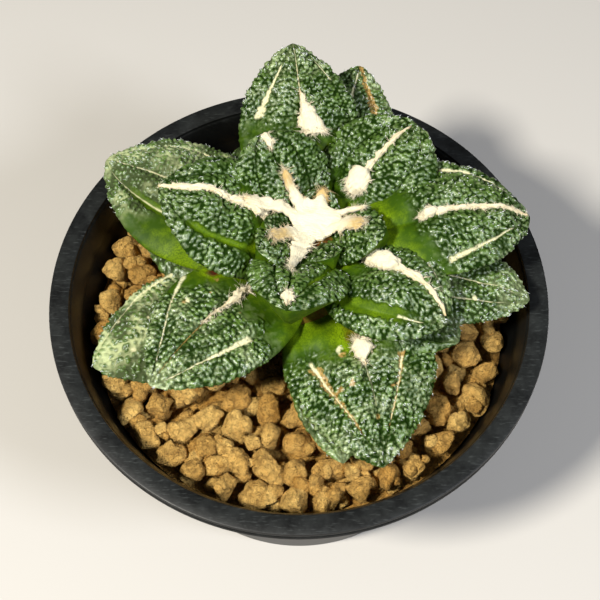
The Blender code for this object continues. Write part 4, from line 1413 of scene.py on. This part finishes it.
def lie_on(relief, low, flat):
    """Heights of the relief at flat places, blended between its four nearest cells."""
    place = np.clip((flat - low) / RELIEF_CELL - 0.5, 0, RELIEF_SIZE - 1.001)
    index = place.astype(int)
    part = place - index
    total = 0.0
    for i, j in itertools.product((0, 1), repeat=2):
        weight = np.abs(1 - i - part[..., 0]) * np.abs(1 - j - part[..., 1])
        total = total + weight * relief[index[..., 0] + i, index[..., 1] + j]
    return total


def direction(degrees):
    return np.array([math.cos(math.radians(degrees)), math.sin(math.radians(degrees))])


def crown_body(wool, relief, low):
    """Upper and lower places and thinness of the crown's felt, without its arms.

    Its reach is a circle with a bell towards each arm, and its thickness is a dome.
    """
    shares = np.linspace(0.02, 1.0, 26)[:, None] ** 0.8
    turns = np.arange(180)[None, :] * 2 * math.pi / 180
    around = np.stack([np.cos(turns), np.sin(turns)], axis=-1)
    reach = wool.radius + 0.4 * MM * cloud(around, 0.3, 4) + 0.15 * MM * cloud(around, 0.06, 5)
    for arm in CROWN_ARMS:
        facing = np.arccos(np.clip(around @ direction(arm.azimuth), -1, 1))
        reach = reach + 1.0 * MM * np.exp(-((facing / 0.3) ** 2))
    flat = shares[..., None] * reach[..., None] * around + CROWN_CENTRE
    ground = lie_on(relief, low, flat)
    body = np.sqrt(np.clip(1 - shares**2, 0, 1))
    lumps = 0.8 * MM * cloud(flat, 2.2 * MM, 6) + 0.15 * MM * cloud(flat, 0.8 * MM, 7)
    upper = ground + 0.1 * MM + (wool.thickness + lumps) * body
    lower = ground - 0.3 * MM + 0 * body
    thin = 0.15 * (1 - body) + 0 * ground
    upper = np.concatenate([flat, upper[..., None]], axis=-1)
    return upper, np.concatenate([flat, lower[..., None]], axis=-1), thin


def crown_arm(wool, relief, low, number):
    """The same for one arm: a band of domed thickness along a bowed line."""
    arm = CROWN_ARMS[number]
    share = np.linspace(0, 0.998, 54)[:, None]
    side = np.sin(np.linspace(-math.pi / 2, math.pi / 2, 13))[None, :]
    out = direction(arm.azimuth)
    ragged = cloud(np.stack([share * 20 + 0 * side, 0.8 * side + 3 * number + 0 * share], axis=-1), 1.0, 30)
    half = 0.5 * MM * (arm.width + (arm.end - arm.width) * share)
    half = half * np.sqrt(np.clip((1 - share) / 0.1, 0, 1)) * (1 + 0.3 * ragged)
    sideways = half * side + arm.bend * MM * 4 * share * (1 - share)
    flat = (share * arm.length * MM)[..., None] * out + sideways[..., None] * direction(arm.azimuth + 90)
    flat = flat + CROWN_CENTRE
    ground = lie_on(relief, low, flat)
    body = np.sqrt(np.clip(1 - side**2, 0, 1)) * (1 - 0.5 * share)
    lumps = 1 + 0.3 * cloud(flat, 1.2 * MM, 31) + 0.15 * cloud(flat, 0.5 * MM, 32)
    upper = ground + 0.1 * MM + 0.8 * wool.thickness * body * lumps
    thin = smooth_step((share - 1 + arm.ochre) / 0.3) + 0 * side + 0.2 * (1 - body)
    upper = np.concatenate([flat, upper[..., None]], axis=-1)
    lower = np.concatenate([flat, ground[..., None] - 0.3 * MM], axis=-1)
    return upper, lower, thin


def disc_part(upper, lower, thin):
    """A closed felt from an upper and a lower grid that wrap round, with a hub in each middle."""
    rows, columns = upper.shape[:2]
    size = rows * columns
    hubs = [upper[0].mean(axis=0), lower[0].mean(axis=0)]
    points = np.vstack([upper.reshape(-1, 3), lower.reshape(-1, 3), hubs])
    top = grid_faces(rows, columns, wrap=True)
    edge = np.arange(columns) + (rows - 1) * columns
    skirt = np.stack([edge, np.roll(edge, -1), np.roll(edge, -1) + size, edge + size], axis=-1)
    first = np.arange(columns)
    faces = [top, top[:, ::-1] + size, skirt[:, ::-1]]
    faces.append(fan_faces(first, 2 * size)[:, ::-1])
    faces.append(fan_faces(first + size, 2 * size + 1))
    along = upper[..., :2] @ direction(168)
    across = upper[..., :2] @ direction(78)
    fields = {}
    for field, values in (("thin", thin), ("along", along), ("across", across)):
        ends = (values[0].mean(), values[0].mean())
        fields[field] = np.concatenate([values.ravel(), values.ravel(), ends])
    return points, faces, fields


def band_part(upper, lower, thin):
    """A closed felt from an upper and a lower grid that are joined round their four edges."""
    rows, columns = upper.shape[:2]
    loop = np.concatenate([upper, lower[:, ::-1]], axis=1)
    points = np.vstack([loop.reshape(-1, 3), loop[0].mean(axis=0), loop[-1].mean(axis=0)])
    first = np.arange(2 * columns)
    faces = [grid_faces(rows, 2 * columns, wrap=True)]
    faces.append(fan_faces(first, len(points) - 2)[:, ::-1])
    faces.append(fan_faces(first + (rows - 1) * 2 * columns, len(points) - 1))
    steps = np.linalg.norm(np.diff(upper, axis=0), axis=2).mean(axis=1, keepdims=True)
    along = np.vstack([[[0.0]], np.cumsum(steps, axis=0)]) + 0 * thin
    across = np.linalg.norm(upper - upper[:, columns // 2, None], axis=2)
    across = across * np.sign(np.arange(columns) - columns // 2)
    fields = {}
    for field, values in (("thin", thin), ("along", along), ("across", across)):
        ends = (values[0].mean(), values[-1].mean())
        fields[field] = np.append(np.hstack([values, values[:, ::-1]]).ravel(), ends)
    return points, faces, fields


def stripe_grid(plant, wool, number):
    """Upper and lower places, normals and thinness of a stripe of wool on its tubercle's top.

    Its half width is the greater of a round head, sqrt(1 - x^2) across its share of the length,
    and a tail that narrows as (1 - share)^taper, and both are ragged.
    """
    stripe = STRIPES[number]
    share = np.linspace(0.004, 0.996, STRIPE_ROWS)[:, None]
    side = np.sin(np.linspace(-math.pi / 2, math.pi / 2, STRIPE_COLUMNS))[None, :]
    length = stripe.start + (stripe.end - stripe.start) * share
    half = half_width(TUBERCLES[stripe.tubercle], length)
    middle = max(0.5 * stripe.head, 0.01)
    head = stripe.width * np.sqrt(np.clip(1 - ((share - middle) / middle) ** 2, 0, 1))
    tail = stripe.tail * (1 - share) ** stripe.taper * np.sqrt(smooth_step(share / 0.03))
    ends = np.sqrt(np.clip((1 - share) / 0.04, 0, 1))
    span = (stripe.end - stripe.start) * TUBERCLES[stripe.tubercle].reach
    strip = np.stack([share * span + 0 * side, 1.5 * side + 9 * number + 0 * share], axis=-1)
    ragged = 0.45 * cloud(strip, 1.1, 40) + 0.25 * cloud(strip, 0.4, 41)
    ragged = 1 + ragged * np.clip(2 / np.maximum(np.maximum(head, tail), 0.1), 0.3, 1.2)
    own = 0.5 * MM * np.maximum(np.maximum(head, tail) * ends, 0.1) * np.clip(ragged, 0.3, 1.8)
    line = furrow_sides(stripe.tubercle, length)[1]
    shift = stripe.shift * MM * (1 - share)
    sides = np.clip(line + (own * side + shift) / half, -0.97, 0.97)
    places = top_places(plant, stripe.tubercle, length, sides)
    filled = top_places(plant, stripe.tubercle, length, sides, 0.0)
    weight = 0.45 + 0.55 * smooth_step((head - tail) / (0.6 * stripe.width + 0.3))
    ground = places + weight[..., None] * (filled - places)
    normals = surface_normals(ground)
    body = np.sqrt(np.clip(1 - side**2, 0, 1)) * np.clip(own / (1.1 * MM), 0.3, 1.4)
    lumps = 1 + 0.3 * cloud(places, 1.1 * MM, 50 + number) + 0.15 * cloud(places, 0.5 * MM, 51)
    lift = 0.25 * MM + wool.stripe * body * lumps
    upper = ground + normals * lift[..., None]
    lower = places - normals * 0.3 * MM
    thin = 0.1 + 0.5 * smooth_step((0.7 * MM - own) / (0.7 * MM)) + 0.25 * (1 - body)
    return upper, lower, normals, thin


def fringe(upper, sideways, forward, outward, count, length, lead, seed):
    """Locks of curled fibres at a felt's edges, four to a lock, which bend back on to the skin.

    A share lead of the locks points backwards from the felt's first rows. The others point
    sideways from its two margins. Both stray at random.
    """
    rng = np.random.default_rng(seed)
    rows, columns = upper.shape[:2]
    locks = max(1, count // 4)
    leading = rng.uniform(0, 1, locks) < lead
    row = np.where(leading, rng.integers(0, rows // 7, locks), rng.integers(0, rows, locks))
    margin = np.where(rng.uniform(0, 1, locks) < 0.5, -1.0, 1.0) * rng.uniform(0.6, 1.0, locks)
    across = np.where(leading, rng.uniform(-0.9, 0.9, locks), margin)
    column = np.rint((across + 1) / 2 * (columns - 1)).astype(int)
    outward = np.broadcast_to(outward, upper.shape)[row, column]
    ahead = np.where(leading, rng.uniform(-1.4, -0.7, locks), rng.normal(0, 0.5, locks))
    aims = across[:, None] * sideways + ahead[:, None] * forward
    aims = aims + outward * rng.uniform(0.1, 0.5, (locks, 1)) + rng.normal(0, 0.25, (locks, 3))
    bends = rng.normal(0, 0.5, (locks, 3)) - 0.35 * outward
    stray = np.repeat(np.arange(locks), 4)
    roots = (upper[row, column] - outward * 0.12 * MM)[stray]
    roots = roots + rng.normal(0, 0.1 * MM, (4 * locks, 3))
    aims = unit(unit(aims)[stray] + rng.normal(0, 0.22, (4 * locks, 3)))
    bends = bends[stray] + rng.normal(0, 0.3, (4 * locks, 3)) - 0.3 * aims
    lengths = 1.35 * length * rng.uniform(0.4, 1.0, locks)[stray]
    lengths = lengths * rng.uniform(0.7, 1.0, 4 * locks)
    radii = rng.uniform(0.035, 0.06, 4 * locks) * MM
    points, faces = strands(roots, aims, bends, lengths, radii, 4)
    return points, faces, {"thin": np.repeat(rng.uniform(0.0, 0.4, locks)[stray], 13)}


class ROCKCACTUS_OT_make_wool(bpy.types.Operator):
    """Lay wool over the growing point and in the furrows, and draw its loose fibres"""

    bl_idname = "rock_cactus.make_wool"
    bl_label = "Make Wool"

    def execute(self, context):
        scene = context.scene
        plant, wool = scene.rock_cactus_plant, scene.rock_cactus_wool
        finish = plant_wool("felted plant wool", wool.ivory, wool.ochre)
        # The fibres are opaque; their paler colour is painted light standing in for light passing through them
        loose = plant_wool("loose translucent wool fibres", wool.pale, wool.ochre)
        relief, low = crown_relief(scene)
        body = crown_body(wool, relief, low)
        felts, fringes = [disc_part(*body)], []
        for number, arm in enumerate(CROWN_ARMS):
            upper, lower, thin = crown_arm(wool, relief, low, number)
            felts.append(band_part(upper, lower, thin))
            forward = np.array([*direction(arm.azimuth), 0.0])
            sideways = np.array([*direction(arm.azimuth + 90), 0.0])
            outer = upper[:20:-1]
            count = int(26 * arm.length * (0.3 + arm.ochre))
            points, faces, fields = fringe(
                outer, sideways, -forward, (0, 0, 1), count, wool.fibre, 0.45, 80 + number
            )
            fields["thin"] = fields["thin"] + 0.9 * arm.ochre
            fringes.append((points, faces, fields))
        points, faces, fields = join_parts(felts)
        add_piece("crown_felt", points, faces, finish, ("crown_wool",), fields)
        points, faces, fields = join_parts(fringes)
        add_piece("crown_fibres", points, faces, loose, (), fields)

        fringes = []
        for number, stripe in enumerate(STRIPES):
            upper, lower, normals, thin = stripe_grid(plant, wool, number)
            points, faces, fields = band_part(upper, lower, thin)
            name = f"areole_felt_{number:02d}"
            replaced = (f"areole_wool_{number:02d}",)
            add_piece(name, points, faces, finish, replaced, fields)
            _, _, forward, sideways, _ = tubercle_axes(plant, stripe.tubercle)
            span = (stripe.end - stripe.start) * TUBERCLES[stripe.tubercle].reach
            count = int(16 * span + 46 * stripe.width)
            length = stripe.fringe * MM
            lead = 0.2 + 0.12 * stripe.width
            fringes.append(
                fringe(upper, sideways, forward, normals, count, length, lead, 70 + number)
            )
        points, faces, fields = join_parts(fringes)
        add_piece("areole_fibres", points, faces, loose, (), fields)
        return {"FINISHED"}


def pale_hair():
    """Stiff short hairs on the warts: translucent, off-white, a little glossy."""
    made, _, shader = new_material("short pale hair")
    shader.inputs["Base Color"].default_value = linear("#edf3f2")
    shader.inputs["Roughness"].default_value = 0.45
    return made


class ROCKCACTUS_OT_make_hair(bpy.types.Operator):
    """Set short hairs on the warts and along the margins"""

    bl_idname = "rock_cactus.make_hair"
    bl_label = "Make Hair"

    def execute(self, context):
        scene = context.scene
        plant = scene.rock_cactus_plant
        rng = np.random.default_rng(12)
        parts = []
        for number in range(len(TUBERCLES)):
            places, normals, fields = tubercle_top(plant, number)
            forward = unit(np.gradient(places, axis=0))
            sideways = np.cross(normals, forward)
            chance = fields["wart"] * (fields["wart"] > 0.5) + 0.6 * fields["cream"]
            area = np.count_nonzero(fields["wart"] > 0.3) * (plant.cell / MM) ** 2
            count = int(plant.hairs * area)
            picks = rng.choice(chance.size, count, p=chance.ravel() / chance.sum())
            row, column = np.unravel_index(picks, places.shape[:2])
            swing = rng.normal(0.4, 0.5, (count, 1))
            aims = forward[row, column] * np.cos(swing) + sideways[row, column] * np.sin(swing)
            aims = unit(aims + normals[row, column] * rng.uniform(0.1, 0.6, (count, 1)))
            lengths = rng.uniform(0.35, 0.9, count) * MM
            radii = rng.uniform(0.045, 0.09, count) * MM
            roots = places[row, column]
            points, faces = strands(roots, aims, np.zeros((count, 3)), lengths, radii, 1)
            parts.append((points, faces, {}))
        points, faces, _ = join_parts(parts)
        add_piece("wart_hairs", points, faces, pale_hair())
        return {"FINISHED"}


# Stage


class ROCKCACTUS_OT_make_stage(bpy.types.Operator):
    """Lay a pale floor and set the lights and the camera"""

    bl_idname = "rock_cactus.make_stage"
    bl_label = "Make Stage"

    def execute(self, context):
        scene = context.scene
        stage = scene.rock_cactus_stage
        made, _, shader = new_material("matte floor")
        shader.inputs["Base Color"].default_value = stage.floor
        shader.inputs["Roughness"].default_value = 0.8
        mesh = bpy.data.meshes.new("floor")
        corners = [(-3, -3, 0), (3, -3, 0), (3, 3, 0), (-3, 3, 0)]
        mesh.from_pydata(corners, [], [(0, 1, 2, 3)])
        mesh.materials.append(made)
        floor = bpy.data.objects.new("floor", mesh)
        scene.collection.objects.link(floor)
        floor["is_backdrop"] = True

        world = bpy.data.worlds.new("studio")
        world.use_nodes = True
        sky = world.node_tree.nodes["Background"]
        sky.inputs["Color"].default_value = linear("#f2f4f8")
        sky.inputs["Strength"].default_value = stage.sky
        scene.world = world

        target = Vector((0.0, 0.0, scene.rock_cactus_pot.height))
        lights = (
            ("key", (-0.32, -0.24, 0.56), 0.10, stage.key, "#fffaf0"),
            ("fill", (0.36, -0.26, 0.46), 0.16, stage.fill, "#f1f5ff"),
        )
        for name, place, size, power, colour in lights:
            lamp = bpy.data.lights.new(name, "AREA")
            lamp.shape = "DISK"
            lamp.size = size
            lamp.energy = power
            lamp.color = linear(colour)[:3]
            light = bpy.data.objects.new(name, lamp)
            light.location = target + Vector(place)
            light.rotation_euler = Vector(place).to_track_quat("Z", "Y").to_euler()
            scene.collection.objects.link(light)

        lens = bpy.data.cameras.new("camera")
        lens.lens = stage.lens
        lens.sensor_width = 36.0
        lens.clip_start = 0.01
        camera = bpy.data.objects.new("camera", lens)
        slope = math.radians(stage.elevation)
        ahead = Vector((0.0, math.cos(slope), -math.sin(slope)))
        aim = Vector((0.23 * MM, -1.9 * MM, scene.rock_cactus_pot.height))
        camera.location = aim - ahead * stage.distance
        camera.rotation_euler = ahead.to_track_quat("-Z", "Y").to_euler()
        scene.collection.objects.link(camera)
        scene.camera = camera
        scene.view_settings.view_transform = "Standard"
        return {"FINISHED"}


SETTINGS = {
    "rock_cactus_pot": PotSettings,
    "rock_cactus_bed": BedSettings,
    "rock_cactus_plant": PlantSettings,
    "rock_cactus_wool": WoolSettings,
    "rock_cactus_stage": StageSettings,
}
OPERATORS = (
    ROCKCACTUS_OT_make_pot,
    ROCKCACTUS_OT_make_bed,
    ROCKCACTUS_OT_make_plant,
    ROCKCACTUS_OT_make_wool,
    ROCKCACTUS_OT_make_hair,
    ROCKCACTUS_OT_make_stage,
)


class ROCKCACTUS_PT_panel(bpy.types.Panel):
    """The cactus's sizes, colours and operators"""

    bl_label = "Rock Cactus"
    bl_idname = "ROCKCACTUS_PT_panel"
    bl_space_type = "VIEW_3D"
    bl_region_type = "UI"
    bl_category = "Rock Cactus"

    def draw(self, context):
        layout = self.layout
        for name in SETTINGS:
            box = layout.box()
            settings = getattr(context.scene, name)
            for field in settings.__annotations__:
                box.prop(settings, field)
        for operator in OPERATORS:
            layout.operator(operator.bl_idname)


def register():
    for group in SETTINGS.values():
        bpy.utils.register_class(group)
    for name, group in SETTINGS.items():
        setattr(bpy.types.Scene, name, PointerProperty(type=group))
    for made in (*OPERATORS, ROCKCACTUS_PT_panel):
        bpy.utils.register_class(made)


def unregister():
    for made in (ROCKCACTUS_PT_panel, *reversed(OPERATORS)):
        bpy.utils.unregister_class(made)
    for name in SETTINGS:
        delattr(bpy.types.Scene, name)
    for group in reversed(SETTINGS.values()):
        bpy.utils.unregister_class(group)


def main():
    register()
    bpy.ops.rock_cactus.make_pot()
    bpy.ops.rock_cactus.make_bed()
    bpy.ops.rock_cactus.make_plant()
    bpy.ops.rock_cactus.make_wool()
    bpy.ops.rock_cactus.make_hair()
    bpy.ops.rock_cactus.make_stage()
    sizes = {"cad": CAD_BOX, "visual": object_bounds()}
    sizes = {name: [list(corner) for corner in box] for name, box in sizes.items()}


if __name__ == "__main__":
    main()
